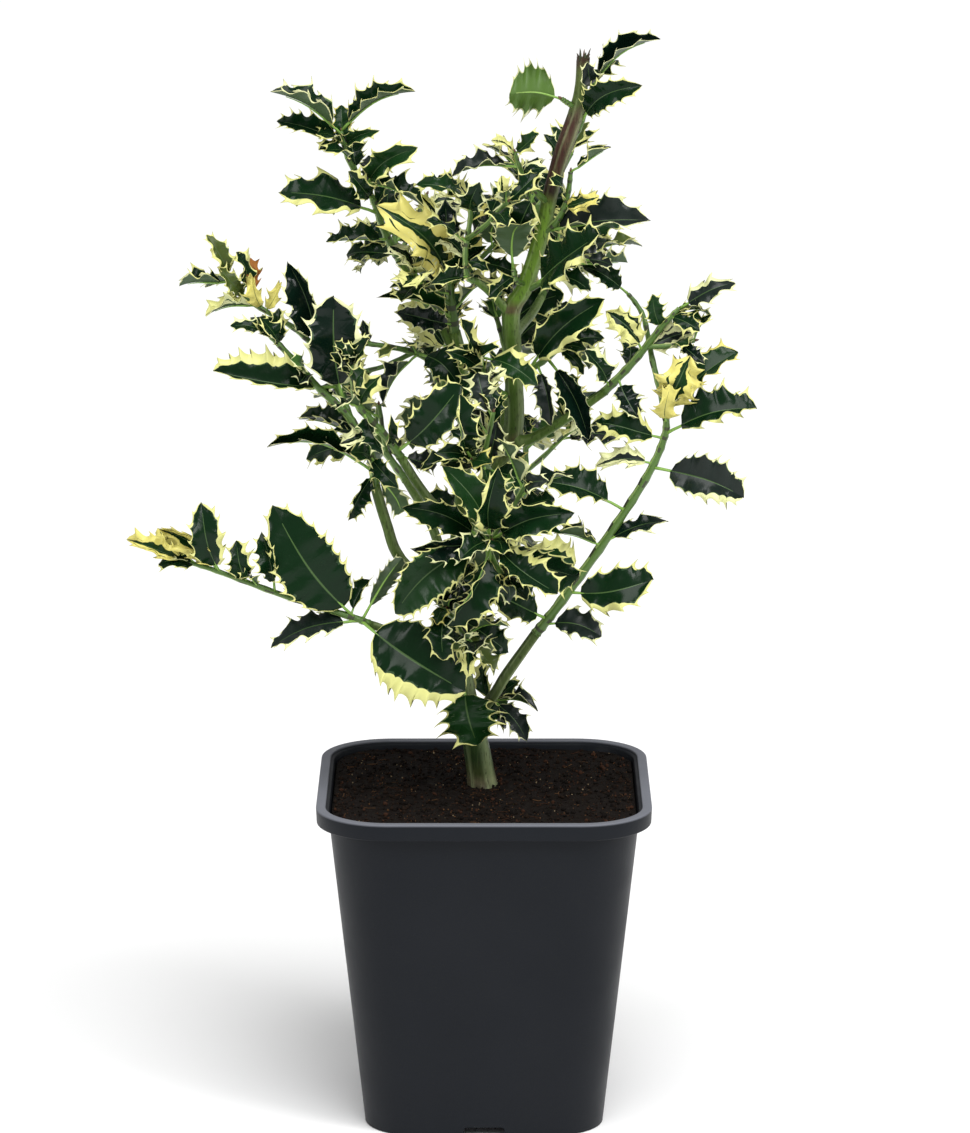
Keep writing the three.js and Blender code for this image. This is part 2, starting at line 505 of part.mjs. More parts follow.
/** One leaf's frame and size, from where its root is and where it runs to. */
function leafAt(root, run, widthShare, face) {
  const length = run.length();
  const dir = run.clone().normalize();
  const f = radians(face);
  const normal = new THREE.Vector3(0, -Math.sin(f), Math.cos(f));
  normal.addScaledVector(dir, -normal.dot(dir)).normalize();
  const side = normal.clone().cross(dir);
  return { root, dir, normal, side, length, half: 0.5 * widthShare * length };
}

const bladePoint = (leaf, u, v, w) => leaf.root.clone().addScaledVector(leaf.dir, u * leaf.length)
  .addScaledVector(leaf.side, v * leaf.half).addScaledVector(leaf.normal, w * leaf.length);

/** How far the blade arches off the straight line from root to tip. */
const arch = (u) => LEAF.rise * Math.sin(Math.PI * u);

/** Thin leaf solid: a three-sided stalk and a blade with a ridge above and below. */
function leafSolid(leaf) {
  const { edge, thick, stalk, neck, wave, middle } = LEAF;
  const [wide, deep] = [stalk[0] / leaf.half, stalk[1] / leaf.length];
  const section = (u, lift) => [bladePoint(leaf, u, -wide, lift + deep / 3),
    bladePoint(leaf, u, wide, lift + deep / 3), bladePoint(leaf, u, 0, lift - 2 * deep / 3)];
  const rim = (side) => edge.map(([u, v, w]) => bladePoint(leaf, u, side * v, arch(u) + wave * w));
  const [rootA, rootB, rootKeel] = section(0, 0);
  const [neckA, neckB, neckKeel] = section(neck, arch(neck));
  const ring = [neckA, ...rim(-1), bladePoint(leaf, 1, 0, arch(1)), ...rim(1).reverse(), neckB];
  const n = ring.length;
  const [top, bottom, keel, a, b, c] = [n, n + 1, n + 2, n + 3, n + 4, n + 5];
  const vertices = [...ring, bladePoint(leaf, middle, 0, arch(middle) + thick / 2),
    bladePoint(leaf, middle, 0, arch(middle) - thick / 2), neckKeel, rootA, rootB, rootKeel];
  const triangles = [[a, b, c], [bottom, 0, keel], [bottom, keel, n - 1],
    [b, a, 0], [b, 0, n - 1], [a, c, keel], [a, keel, 0], [c, b, n - 1], [c, n - 1, keel]];
  for (let i = 0; i < n; i++) triangles.push([top, i, (i + 1) % n]);
  for (let i = 0; i < n - 1; i++) triangles.push([bottom, i + 1, i]);
  return solid(vertices, triangles);
}

/** Grid of points over the blade, for the clearance test. */
function bladeGrid(leaf) {
  const points = [];
  const rows = Math.ceil(leaf.length / CLEAR.step);
  for (let i = 1; i <= rows; i++) {
    const u = i / rows;
    const width = Math.sin(Math.PI * (LEAF.neck + (1 - LEAF.neck) * u) ** LEAF.fullness);
    const cols = Math.max(1, Math.ceil(leaf.half * width / CLEAR.step));
    for (let j = -cols; j <= cols; j++) {
      points.push(bladePoint(leaf, u, width * j / cols, arch(u)));
    }
  }
  return points;
}

/** True where a leaf is clear of the limbs, the stems and the leaves placed so far. */
function isClear(grid, leaf, name, { stems, limbs, parent, placed }, clearance) {
  const middle = bladePoint(leaf, 0.5, 0, 0);
  const reach = CLEAR.reach * leaf.length;
  const nearRoot = (p, root) => p.distanceTo(root) < CLEAR.freeRoot;
  const outer = grid.filter((p) => !nearRoot(p, leaf.root));
  if (grid.some((p) => p.z < CLEAR.lowest)) return false;
  if (clearance.open && grid.some(inOpening)) return false;
  for (const stem of stems) {
    const own = stem.shoot === name;
    const gap = own ? clearance.ownStem : clearance.limb;
    if ((own ? outer : grid).some((p) => barkDistance(stem, p) < gap)) return false;
  }
  for (const limb of Object.values(limbs)) {
    const points = limb === parent ? outer : grid;
    if (points.some((p) => barkDistance(limb, p) < clearance.limb)) return false;
  }
  for (const other of placed) {
    if (other.middle.distanceTo(middle) > other.reach + reach) continue;
    const own = other.shoot === name;
    const gap = own ? clearance.ownLeaf : clearance.leaf;
    const mine = own ? outer : grid;
    const theirs = own ? other.grid.filter((q) => !nearRoot(q, other.leaf.root)) : other.grid;
    if (mine.some((p) => theirs.some((q) => p.distanceTo(q) < gap))) return false;
  }
  return true;
}

/** True where a point lies in an opening of the crown. */
function inOpening({ x, y, z }) {
  const up = z * Math.cos(VIEW_RISE) + y * Math.sin(VIEW_RISE);
  return OPENINGS.some(([left, right, low, high, back]) => (
    y < back && x > left && x < right && up > low && up < high));
}

/** How far a point is from a limb's bark, less than nothing inside it. */
function barkDistance({ points, radii }, p) {
  let best = Infinity;
  const line = new THREE.Line3();
  const nearest = new THREE.Vector3();
  for (let i = 1; i < points.length; i++) {
    line.set(points[i - 1], points[i]);
    line.closestPointToPoint(p, true, nearest);
    best = Math.min(best, nearest.distanceTo(p) - Math.max(radii[i - 1], radii[i]));
  }
  return best;
}

/** A direction that leans off a stem, turned round it by an angle. */
function leanOff(dir, turn, lean) {
  const side = new THREE.Vector3(0, 0, 1).cross(dir);
  if (side.length() < 0.1) side.set(1, 0, 0);
  side.normalize();
  const up = dir.clone().cross(side);
  const [t, l] = [radians(turn), radians(lean)];
  const out = side.multiplyScalar(Math.cos(t)).addScaledVector(up, Math.sin(t));
  return dir.clone().multiplyScalar(Math.cos(l)).addScaledVector(out, Math.sin(l));
}

/** A shoot's stem, from its bough's tip or the side of the trunk. */
function makeStem(spec, parent) {
  let root;
  if (spec.at) {
    root = atHeight(parent, spec.at);
  } else {
    const tip = parent.points[parent.points.length - 1];
    const before = parent.points[parent.points.length - 2];
    root = tip.clone().addScaledVector(tip.clone().sub(before).normalize(), GAP);
  }
  const points = smoothLine([root.toArray(), ...spec.run], 2).map(vec);
  return { shoot: spec.name, points, radii: tapered(spec.girth, points.length) };
}

/** The second stem that some shoots fork into. */
function makeArm(spec, stem) {
  const root = along(stem.points, spec.arm.from).point.toArray();
  const points = smoothLine([root, ...spec.arm.run], 2).map(vec);
  return { shoot: spec.name, points, radii: tapered(spec.arm.girth, points.length) };
}

/** Side twigs by rule; one that would touch a limb or another stem is left out. */
function makeTwigs(spec, stem, stems, random) {
  const twigs = [];
  for (let k = 0; k < spec.twigs; k++) {
    const share = TWIG.spread[0] + TWIG.spread[1] * (k + 0.5) / spec.twigs;
    const from = along(stem.points, share);
    for (let attempt = 0; attempt < RULE.tries; attempt++) {
      const turn = RULE.turn * (k + 1) + spec.seed * TWIG.seedTurn + TWIG.retryTurn * attempt;
      const reach = TWIG.length * (TWIG.stretch[0] + TWIG.stretch[1] * random());
      const dir = leanOff(from.dir, turn, TWIG.lean);
      const tip = from.point.clone().addScaledVector(dir, reach);
      tip.z += TWIG.lift * reach;
      const near = stems.some((other) => other !== stem
        && barkDistance(other, tip) < TWIG.room);
      if (near || tip.z < CLEAR.twigLowest) continue;
      const middle = from.point.clone().lerp(tip, 0.5);
      middle.z -= TWIG.sag * reach;
      const points = [from.point.clone(), middle, tip];
      twigs.push({ shoot: spec.name, points, radii: tapered(TWIG.girth, points.length) });
      break;
    }
  }
  return twigs;
}

/** The leaves that a shoot's rows place; one in the way is swung aside, then left out. */
function growRows({ spec, stem, arm, random }, clear) {
  placeRows(spec.rows, stem, random, clear);
  if (spec.arm) placeRows(spec.arm.rows, arm, random, clear);
}

function placeRows(rows, line, random, clear) {
  for (const [share, right, away, up, width, face] of rows) {
    const from = along(line.points, share);
    const run = new THREE.Vector3(right, away, up);
    const axis = run.clone().normalize();
    const swing = leanOff(axis, 360 * random(), 90);
    for (let attempt = 0; attempt < RULE.tries; attempt++) {
      const bent = run.clone().addScaledVector(swing, SWING.share * attempt * run.length());
      if (clear(leafAt(from.point, bent, width, face), CLEAR.row)) break;
      swing.applyAxisAngle(axis, radians(SWING.turn));
    }
  }
}

/** The leaves that follow by rule, round the stem and then round each side twig. */
function growMore({ spec, stem, twigs, random }, clear) {
  const onTwigs = twigs.map((twig) => [twig, TWIG.leaves, RULE.firstOnTwig]);
  const { lean, size, width, face } = RULE;
  [[stem, spec.more, RULE.first], ...onTwigs].forEach(([line, count, first], branch) => {
    for (let k = 0; k < count; k++) {
      const share = first + (1 - first) * (k + 0.5) / count;
      const from = along(line.points, share);
      const start = RULE.turn * k + RULE.seedTurn * spec.seed + RULE.branchTurn * branch;
      for (let attempt = 0; attempt < RULE.tries; attempt++) {
        const turn = start + RULE.retryTurn * attempt + RULE.jitter * random();
        const off = lean[0] + lean[1] * random() + lean[2] * share;
        const long = spec.size * (size[0] + size[1] * random() + size[2] * share)
          * (1 - RULE.shrink * attempt);
        const run = leanOff(from.dir, turn, off).multiplyScalar(long);
        const facing = face[0] + face[1] * random();
        const broad = width[0] + width[1] * random();
        if (clear(leafAt(from.point, run, broad, facing), CLEAR.more)) break;
      }
    }
  });
}

/** Stem, twigs and leaves of every shoot, each shoot fused into one solid. */
function makeShoots(limbs) {
  const stems = SHOOTS.map((spec) => makeStem(spec, limbs[spec.on]));
  const arms = SHOOTS.map((spec, i) => (spec.arm ? makeArm(spec, stems[i]) : null));
  const every = [...stems, ...arms.filter(Boolean)];
  const shoots = SHOOTS.map((spec, i) => {
    const random = draws(spec.seed);
    const twigs = makeTwigs(spec, stems[i], every, random);
    every.push(...twigs);
    return { spec, stem: stems[i], arm: arms[i], twigs, random, leaves: [] };
  });
  const placed = [];
  for (const grow of [growRows, growMore]) {
    for (const shoot of shoots) {
      const around = { stems: every, limbs, parent: limbs[shoot.spec.on], placed };
      grow(shoot, (leaf, clearance) => {
        const grid = bladeGrid(leaf);
        if (!isClear(grid, leaf, shoot.spec.name, around, clearance)) return false;
        placed.push({ leaf, grid, shoot: shoot.spec.name, middle: bladePoint(leaf, 0.5, 0, 0),
          reach: CLEAR.reach * leaf.length });
        shoot.leaves.push(leafSolid(leaf));
        return true;
      });
    }
  }
  return shoots.map(({ spec, stem, arm, twigs, leaves }) => {
    const lines = [stem, arm, ...twigs].filter(Boolean);
    const wood = lines.map((line) => limbSolid(line.points, line.radii, TWIG_SIDES));
    const fused = wasm.Manifold.union([...wood, ...leaves]).subtract(limbs[spec.on].grown);
    return { name: spec.name, solid: largest(fused) };
  });
}

// ---------------------------------------------------------------- assembly

function toMesh(name, manifold, [color, roughness]) {
  const mesh = manifold.getMesh();
  const geometry = new THREE.BufferGeometry();
  geometry.setAttribute('position', new THREE.BufferAttribute(mesh.vertProperties, 3));
  geometry.setIndex(new THREE.BufferAttribute(mesh.triVerts, 1));
  geometry.computeVertexNormals();
  const material = new THREE.MeshStandardMaterial({ color, roughness, metalness: 0 });
  const made = new THREE.Mesh(geometry, material);
  made.name = name;
  return made;
}

const holly = new THREE.Group();
holly.add(toMesh('pot', makePot(), FINISH.pot));
holly.add(toMesh('soil', makeSoil(), FINISH.soil));

const limbs = { trunk: makeTrunk() };
for (const spec of BOUGHS) limbs[spec.name] = makeBough(spec, limbs[spec.on]);
for (const [name, limb] of Object.entries(limbs)) {
  holly.add(toMesh(name, limb.solid, name === 'trunk' ? FINISH.trunk : FINISH.bough));
}
for (const shoot of makeShoots(limbs)) holly.add(toMesh(shoot.name, shoot.solid, FINISH.leaves));

export default holly;
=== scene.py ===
"""A young variegated holly tree in a black square nursery pot.

Metres, +Z up, +X to the plant's right as seen from its front (-Y). The growth rule works in
millimetres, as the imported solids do, and is scaled when a mesh is made.
"""

from math import acos, ceil, cos, degrees, exp, pi, radians, sin, sqrt

import bpy
import numpy as np
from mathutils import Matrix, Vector, noise


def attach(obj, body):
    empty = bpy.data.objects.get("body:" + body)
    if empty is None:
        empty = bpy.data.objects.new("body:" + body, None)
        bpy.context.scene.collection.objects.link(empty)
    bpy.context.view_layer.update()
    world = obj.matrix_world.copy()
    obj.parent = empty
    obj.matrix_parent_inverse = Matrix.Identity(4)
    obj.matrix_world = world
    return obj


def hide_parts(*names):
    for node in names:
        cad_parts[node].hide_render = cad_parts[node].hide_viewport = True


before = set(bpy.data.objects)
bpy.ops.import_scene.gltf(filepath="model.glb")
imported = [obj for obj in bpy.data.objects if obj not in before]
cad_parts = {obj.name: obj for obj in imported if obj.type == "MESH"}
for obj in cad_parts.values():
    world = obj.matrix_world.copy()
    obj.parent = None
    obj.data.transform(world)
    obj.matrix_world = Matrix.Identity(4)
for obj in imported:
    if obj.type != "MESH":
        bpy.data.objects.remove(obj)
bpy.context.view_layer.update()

MM = 0.001


# ------ driving sizes, mm

POT = dict(
    height=221.5, rim_half=110, rim_corner=48, foot_half=79, foot_corner=34, corner_steps=14,
    lip_height=11, lip_step=8.5, lip_flat=6.5, lip_edge=1.5, lip_draft=0.5, lip_inner=2,
    lip_drop=6, edge_steps=4, edge_angle=40, smooth_angle=35, wall=2, floor=9,
    notch_width=27, notch_height=6, notch_depth=28, notch_round=2.2,
)
SOIL_TOP = 217
GAP = 0.3

# trunk stations from the soil to the cut tip: right, away, up, radius
TRUNK = [
    [-1, 8, 212, 10.4], [-2, 8, 222, 9.2], [-6, 6, 247, 8.6], [-14, 3, 283, 8.2],
    [-19, 0, 318, 7.6], [-22, 0, 353, 7.0], [-19, 0, 373, 6.7], [-9, 2, 395, 6.3],
    [5, 5, 427, 6.1], [19, 5, 456, 6.4], [19, 4, 506, 5.7], [18, 3, 537, 5.8], [27, 2, 555, 5.2],
    [38, 0, 591, 5.0], [43, -1, 615, 4.9], [51, -3, 644, 5.3], [60, -4, 670, 4.8],
    [63, -4, 687, 4.1], [64, -4, 705, 4.3],
]

# a bough: the limb it leaves and the height there, its girth from foot to tip, its stations
BOUGHS = {
    "bough_centre": ("trunk", 366, (4.8, 3.9),
        [[-15, 20, 407], [-12, 30, 449], [-15, 32, 497], [-19, 30, 518]]),
    "bough_upper_left": ("bough_centre", 500, (3.4, 2.7), [[-38, 35, 539], [-55, 36, 565]]),
    "bough_left": ("trunk", 338, (3.9, 3.3), [[-54, -18, 376], [-64, -22, 402], [-71, -24, 427]]),
    "bough_left_inner": ("trunk", 390, (3.5, 2.8), [[-35, -24, 417], [-54, -38, 449]]),
    "bough_lower_left": ("trunk", 312, (3.3, 2.5), [[-54, -24, 327], [-74, -32, 336]]),
    "bough_lower_right": ("trunk", 260, (3.8, 3.4),
        [[6, -6, 281], [15, -10, 297], [34, -16, 326]]),
    "bough_right": ("trunk", 453, (3.4, 2.8), [[29, -1, 453], [52, -6, 467], [78, -8, 486]]),
    "bough_short": ("trunk", 535, (2.7, 2.2), [[4, -2, 551], [-5, -5, 559]]),
    "bough_front": ("trunk", 378, (3.4, 2.6), [[-10, -22, 386], [-3, -42, 393]]),
    "bough_back_low": ("trunk", 300, (3.6, 2.8), [[-8, 40, 318], [0, 72, 334]]),
    "bough_back_left": ("trunk", 350, (3.6, 2.7), [[-34, 38, 385], [-52, 62, 412]]),
    "bough_back_right": ("trunk", 402, (3.5, 2.7), [[20, 42, 396], [26, 70, 404]]),
    "bough_back_centre": ("trunk", 446, (3.5, 2.7), [[14, 40, 462], [18, 72, 478]]),
    "bough_back_upper": ("trunk", 522, (3.3, 2.6), [[30, 36, 528], [38, 64, 536]]),
}

# A leaf's stalk (a share of its length), how high the middle of its blade rises, and how far
# towards the tip it is broadest.
LEAF = dict(neck=0.11, rise=0.07, fullness=1.15)


def shoot(name, on, girth, seed, run, rows=(), more=0, size=0, twigs=0, **own):
    """A leafy shoot: the limb it grows on, its girth from foot to tip and its stations.

    A row of a leaf is its place along the stem, its run to the tip (right, away, up), its width as
    a share of its length, and the way the blade faces (0 sky, 90 front, -90 back). `more` leaves
    follow by rule, of about `size` mm, and `twigs` side twigs carry their own. A shoot that doesn't
    go on from its limb's tip leaves it `at` a height, and one has an `arm` with rows of its own.
    """
    return dict(name=name, on=on, girth=girth, seed=seed, run=run, rows=rows, more=more, size=size,
                twigs=twigs, **own)


SHOOTS = [
    shoot("leaves_lower_left", "bough_lower_left", (2.4, 1.3), 11,
        [(-85, -34, 341), (-131, -38, 357), (-174, -41, 374), (-194, -40, 380)],
        [(0.06, 69, -27, -40, 0.6, 62), (0.08, -51, -12, 76, 0.47, 70), (0.05, -60, -11, -12, 0.23, 30),
         (0.05, 26, -3, 44, 0.22, -60), (0.11, 12, 18, 22, 0.34, 60), (0.39, -5, 7, 23, 0.42, 55),
         (0.52, -8, -2, 40, 0.29, 60), (0.67, -6, -8, 28, 0.57, 60), (0.82, -10, -13, 46, 0.46, 70),
         (0.82, -40, 7, 29, 0.26, 50), (1.0, -38, 0, 16, 0.32, 40)], more=3, size=24),
    shoot("leaves_left", "bough_left", (3.2, 1.5), 23,
        [(-73, -26, 445), (-88, -28, 474), (-105, -30, 491), (-130, -30, 519), (-141, -28, 530)],
        [(0.07, -17, -5, -31, 0.27, 50), (0.07, 20, -19, -25, 0.35, -70), (0.14, -12, -18, 9, 0.78, 60),
         (0.16, 18, -20, -16, 0.42, 65), (0.22, -44, 17, 16, 0.29, 45), (0.07, -69, 7, 20, 0.12, 20),
         (0.99, -23, -6, 7, 0.46, 45), (0.7, -4, -14, -2, 0.72, 50)],
        arm=dict(start=0.36, girth=(2.3, 1.3),
                 run=[(-97, -22, 496), (-107, -22, 515), (-124, -18, 531), (-151, -16, 547),
                      (-165, -14, 560)],
                 rows=[(0.2, -79, -19, 15, 0.3, 62), (0.12, -5, -21, 70, 0.37, 75),
                       (0.43, -18, -3, 58, 0.28, 70), (0.81, -33, -8, -2, 0.27, 30),
                       (0.89, -15, -9, 20, 0.49, 60), (0.78, -6, -8, 23, 0.4, 60),
                       (0.85, -2, 8, 30, 0.27, 70), (0.76, 10, -5, 19, 0.42, 60),
                       (1.0, -33, 2, 1, 0.27, 35), (1.0, -14, -4, 31, 0.38, 75)]), more=4, size=26),
    shoot("leaves_left_inner", "bough_left_inner", (2.7, 1.8), 35,
        [(-64, -42, 464), (-81, -48, 485), (-84, -50, 501), (-85, -50, 512)],
        [(0.06, 40, -15, 46, 0.46, 70), (0.14, 0, -20, 20, 0.3, 65), (0.3, -25, -17, -2, 0.43, 50),
         (0.55, 12, -19, -22, 0.29, 65), (0.62, 13, -12, 21, 0.62, 70), (0.03, 27, 13, -9, 0.5, 60),
         (1.0, -10, -10, 17, 0.47, 60), (1.0, 11, -8, 19, 0.47, 60)], more=5, size=32),
    shoot("leaves_upper_left", "bough_upper_left", (2.6, 1.4), 47,
        [(-63, 35, 580), (-69, 32, 596), (-75, 30, 612), (-88, 26, 633), (-93, 24, 653)],
        [(0.17, -40, -15, 2, 0.33, 55), (0.61, 40, -21, -12, 0.28, 50), (0.37, -64, -12, 17, 0.19, 35),
         (0.57, 35, -9, 27, 0.34, 60), (0.97, -45, -4, 31, 0.29, 40), (1.0, 46, -6, 30, 0.2, 20),
         (0.92, -44, 9, 14, 0.28, 35), (0.47, -14, -17, 21, 0.47, 62), (0.9, 20, -17, 13, 0.32, 60),
         (0.93, -16, -9, -4, 0.49, 50)], more=6, size=30),
    shoot("leaves_centre", "bough_centre", (3.2, 1.9), 59,
        [(-22, 27, 545), (-22, 24, 566)],
        [(1.0, -3, -14, 42, 0.5, 75), (0.66, -40, -34, 58, 0.2, 55), (0.7, 23, -32, 31, 0.22, 50),
         (0.55, -37, -21, 11, 0.3, 50), (0.2, -49, -29, 21, 0.12, 30), (0.12, -36, -11, 12, 0.4, 60),
         (0.8, -35, -3, 11, 0.32, 50), (1.0, -21, 12, 45, 0.23, 40)], more=6, size=40, twigs=2),
    shoot("leaves_short", "bough_short", (2.1, 1.6), 61,
        [(-11, -8, 563), (-12, -10, 580), (-9, -10, 600), (-9, -10, 614)],
        [(1.0, -34, -6, 12, 0.36, 50), (0.85, 5, -20, 20, 0.6, 70), (0.3, 15, -5, -4, 0.62, 55),
         (0.12, -22, -28, 3, 0.33, 50)], more=4, size=32, twigs=1),
    shoot("leaves_cross", "bough_centre", (2.2, 1.5), 73,
        [(-46, 26, 506), (-76, 20, 513)],
        [(0.5, 27, -24, -15, 0.56, 60), (0.5, -23, -20, -29, 0.22, 55), (1.0, -3, -6, 16, 0.46, 60),
         (1.0, -17, -6, -1, 0.51, 40)], at=488, more=4, size=27, twigs=1),
    shoot("leaves_lower_right", "bough_lower_right", (3.3, 1.3), 85,
        [(48, -20, 345), (79, -23, 390), (105, -23, 431), (117, -20, 457), (118, -17, 474),
         (110, -4, 506), (104, 6, 534), (94, 10, 548)],
        [(0.03, 38, -10, -4, 0.6, 55), (0.14, 54, -12, 12, 0.55, 70), (0.05, -52, -18, 32, 0.5, 60),
         (0.3, 42, 4, 15, 0.36, 35), (0.4, -52, -8, 24, 0.44, 45), (0.53, 60, -12, -14, 0.44, 55),
         (0.54, -37, -4, 3, 0.4, 40), (0.62, 58, -8, 21, 0.46, 55), (0.61, -44, 0, 14, 0.42, 40),
         (0.68, 15, -14, 38, 0.7, 70), (0.67, 46, 8, 42, 0.36, 50), (0.65, 2, -18, 26, 0.5, 75),
         (0.2, -32, -10, 20, 0.7, 65), (0.29, -30, -6, 12, 0.25, 30), (1.0, -30, -6, 22, 0.35, 45)]),
    shoot("leaves_right", "bough_right", (2.7, 1.6), 97,
        [(98, -8, 507), (116, -8, 530), (127, -6, 541)],
        [(1.0, 34, -4, 20, 0.45, 45), (0.5, 34, 10, 12, 0.5, 50), (0.06, -14, -14, 26, 0.5, 60),
         (0.5, -22, -10, 28, 0.5, 60), (0.18, 6, -12, -27, 0.55, 65), (0.9, 18, -14, -6, 0.6, 50)],
        more=5, size=32, twigs=1),
    shoot("leaves_rosette", "bough_front", (2.5, 1.7), 109,
        [(3, -62, 398), (5, -78, 403)],
        [(0.6, -28, -12, 51, 0.39, 66), (0.95, 48, -24, 26, 0.35, 52), (0.8, 47, 7, 6, 0.18, 30),
         (1.0, 42, -24, -29, 0.4, 62), (0.6, 59, 14, -26, 0.34, 60), (0.35, -53, -1, 25, 0.31, 62),
         (0.6, -50, -14, 1, 0.25, 50), (0.7, -62, 1, -48, 0.38, 66), (1.0, -29, -26, -49, 0.27, 72),
         (0.7, -10, 3, -53, 0.32, 75), (0.95, 16, -24, 51, 0.31, 66)], more=4, size=38, twigs=2),
    shoot("leaves_middle", "trunk", (2.6, 1.8), 121,
        [(2, -26, 440), (-8, -56, 452)],
        [(0.95, -24, -17, 8, 0.43, 55), (0.55, 7, -11, 30, 0.64, 70), (0.4, 31, -14, -9, 0.44, 60),
         (1.0, -6, -22, 42, 0.28, 70), (0.8, -38, -2, -4, 0.34, 50)], at=424, more=5, size=38, twigs=2),
    shoot("leaves_low_middle", "trunk", (2.5, 1.7), 133,
        [(-22, -26, 342), (-24, -44, 350)],
        [(0.9, -15, -10, 35, 0.33, 68), (0.5, 38, -8, -24, 0.6, 66), (0.9, -10, -22, -26, 0.58, 70)],
        at=334, more=5, size=38, twigs=1),
    shoot("leaves_foot_left", "trunk", (2.0, 1.5), 145,
        [(-13, -10, 290), (-13, -16, 293)],
        [(0.9, 9, -10, -40, 0.95, 70)], at=284),
    shoot("leaves_foot_right", "trunk", (2.0, 1.4), 157,
        [(2, 16, 270), (8, 18, 273)],
        [(0.9, 30, -6, -2, 0.36, 30), (0.9, 24, -10, -24, 0.42, 30), (0.8, -4, 10, 26, 0.4, 60)],
        at=266, more=2, size=26),
    shoot("leaves_leader_low_left", "trunk", (2.4, 1.6), 169,
        [(4, -9, 492), (-2, -13, 510)],
        [(1.0, 37, -21, -14, 0.47, 52), (0.6, -27, -13, 23, 0.31, 50), (0.8, -19, -10, -17, 0.53, 60),
         (1.0, -12, -7, 27, 0.38, 60)], at=478, more=6, size=34, twigs=1),
    shoot("leaves_leader_low_right", "trunk", (2.4, 1.6), 181,
        [(36, -4, 504), (50, -4, 516)],
        [(0.35, 46, -19, 50, 0.31, 52), (0.7, 28, -22, -49, 0.24, 50), (0.5, 9, -19, -35, 0.29, 60),
         (0.95, 17, -10, -14, 0.41, 40)], at=494, more=5, size=36, twigs=1),
    shoot("leaves_leader_right", "trunk", (2.4, 1.6), 193,
        [(44, -6, 562), (62, -4, 576)],
        [(0.25, 39, -38, 40, 0.23, 45), (0.5, 25, -10, -7, 0.61, 50), (0.9, 25, -3, -1, 0.51, 50),
         (0.8, 39, 11, 2, 0.29, 30)], at=551, more=6, size=34, twigs=1),
    shoot("leaves_leader_left", "trunk", (2.1, 1.6), 199,
        [(21, -9, 560), (19, -11, 568)],
        [(1.0, 5, -29, 38, 0.55, -76), (0.8, -17, -16, -11, 0.46, 55)], at=556),
    shoot("leaves_high_right", "trunk", (2.2, 1.4), 205,
        [(48, -8, 600), (54, -8, 615), (56, -8, 631)],
        [(0.12, 67, -5, 9, 0.35, 50), (0.55, 22, -10, 8, 0.52, 60), (1.0, 25, -2, 18, 0.38, 30)],
        at=588, more=3, size=28),
    shoot("leaves_high_left", "trunk", (2.3, 1.4), 217,
        [(34, -10, 618), (24, -12, 632), (20, -12, 644)],
        [(0.35, -14, 3, -32, 0.66, 72), (0.78, -44, -4, -3, 0.32, 40), (1.0, -14, -8, 10, 0.5, 50),
         (1.0, 14, -10, 14, 0.6, 50), (0.7, 14, -12, 6, 0.6, 60)], at=610, more=2, size=28),
    shoot("leaves_top_left", "trunk", (1.9, 1.4), 229,
        [(54, -8, 676), (50, -10, 679)],
        [(0.9, -34, -8, 4, 1.08, -80)], at=672),
    shoot("leaves_top_right", "trunk", (2.1, 1.4), 241,
        [(60, -2, 656), (66, -3, 672), (70, -4, 687)],
        [(0.45, 33, -22, 28, 0.36, 55), (1.0, 42, -2, 32, 0.17, 20)], at=646, more=1, size=22),
    shoot("leaves_back_low", "bough_back_low", (2.7, 1.6), 253,
        [(4, 98, 350), (4, 116, 366)], more=6, size=50, twigs=2),
    shoot("leaves_back_left", "bough_back_left", (2.6, 1.6), 265,
        [(-70, 82, 434), (-80, 94, 458)], more=6, size=50, twigs=2),
    shoot("leaves_back_right", "bough_back_right", (2.6, 1.6), 291,
        [(28, 94, 416), (28, 108, 432)], more=6, size=50, twigs=2),
    shoot("leaves_back_centre", "bough_back_centre", (2.6, 1.5), 289,
        [(14, 100, 496), (8, 118, 514)], more=6, size=46, twigs=2),
    shoot("leaves_back_upper", "bough_back_upper", (2.5, 1.5), 301,
        [(46, 86, 550), (50, 96, 564)], more=6, size=46, twigs=2),
    shoot("leaves_back_mid_left", "bough_centre", (2.6, 1.5), 313,
        [(-30, 70, 476), (-38, 104, 496), (-36, 116, 510)], at=455, more=6, size=46, twigs=2),
    shoot("leaves_back_high_left", "bough_upper_left", (2.3, 1.4), 325,
        [(-58, 66, 568), (-60, 86, 584)], at=560, more=6, size=38, twigs=2),
    shoot("leaves_back_top", "trunk", (2.3, 1.4), 337,
        [(34, 28, 602), (26, 54, 612), (24, 62, 622)], at=596, more=6, size=36, twigs=2),
    shoot("leaves_back_inner_low", "bough_back_low", (2.2, 1.4), 349,
        [(-2, 34, 328), (-2, 44, 346)], at=313, more=7, size=42),
    shoot("leaves_back_inner", "trunk", (2.3, 1.4), 361,
        [(4, 24, 382), (4, 44, 376)], at=394, more=7, size=42),
    shoot("leaves_back_inner_high", "trunk", (2.2, 1.4), 373,
        [(4, 26, 424), (2, 44, 436)], at=420, more=7, size=42),
]

# How leaves and side twigs follow by rule. A pair is a base and the span of a draw, and a third
# figure is the change from the stem's foot to its tip.
RULE = dict(
    turn=137.5, tries=7, retry_turn=41, seed_turn=17, branch_turn=70, jitter=24, first=0.22,
    first_on_twig=0.45, lean=(57, 16, -22), size=(1.12, 0.22, -0.3), shrink=0.06,
    width=(0.46, 0.2), face=(-8, 62),
)
# A row's leaf that is in the way: how far it swings aside, and how far round it is tried.
SWING = dict(share=0.09, turn=100)
# A side twig, in mm and degrees.
TWIG = dict(
    length=34, stretch=(0.8, 0.5), girth=(1.7, 1.4), leaves=3, spread=(0.25, 0.6), lean=52,
    seed_turn=31, retry_turn=50, lift=0.15, sag=0.05, room=16,
)
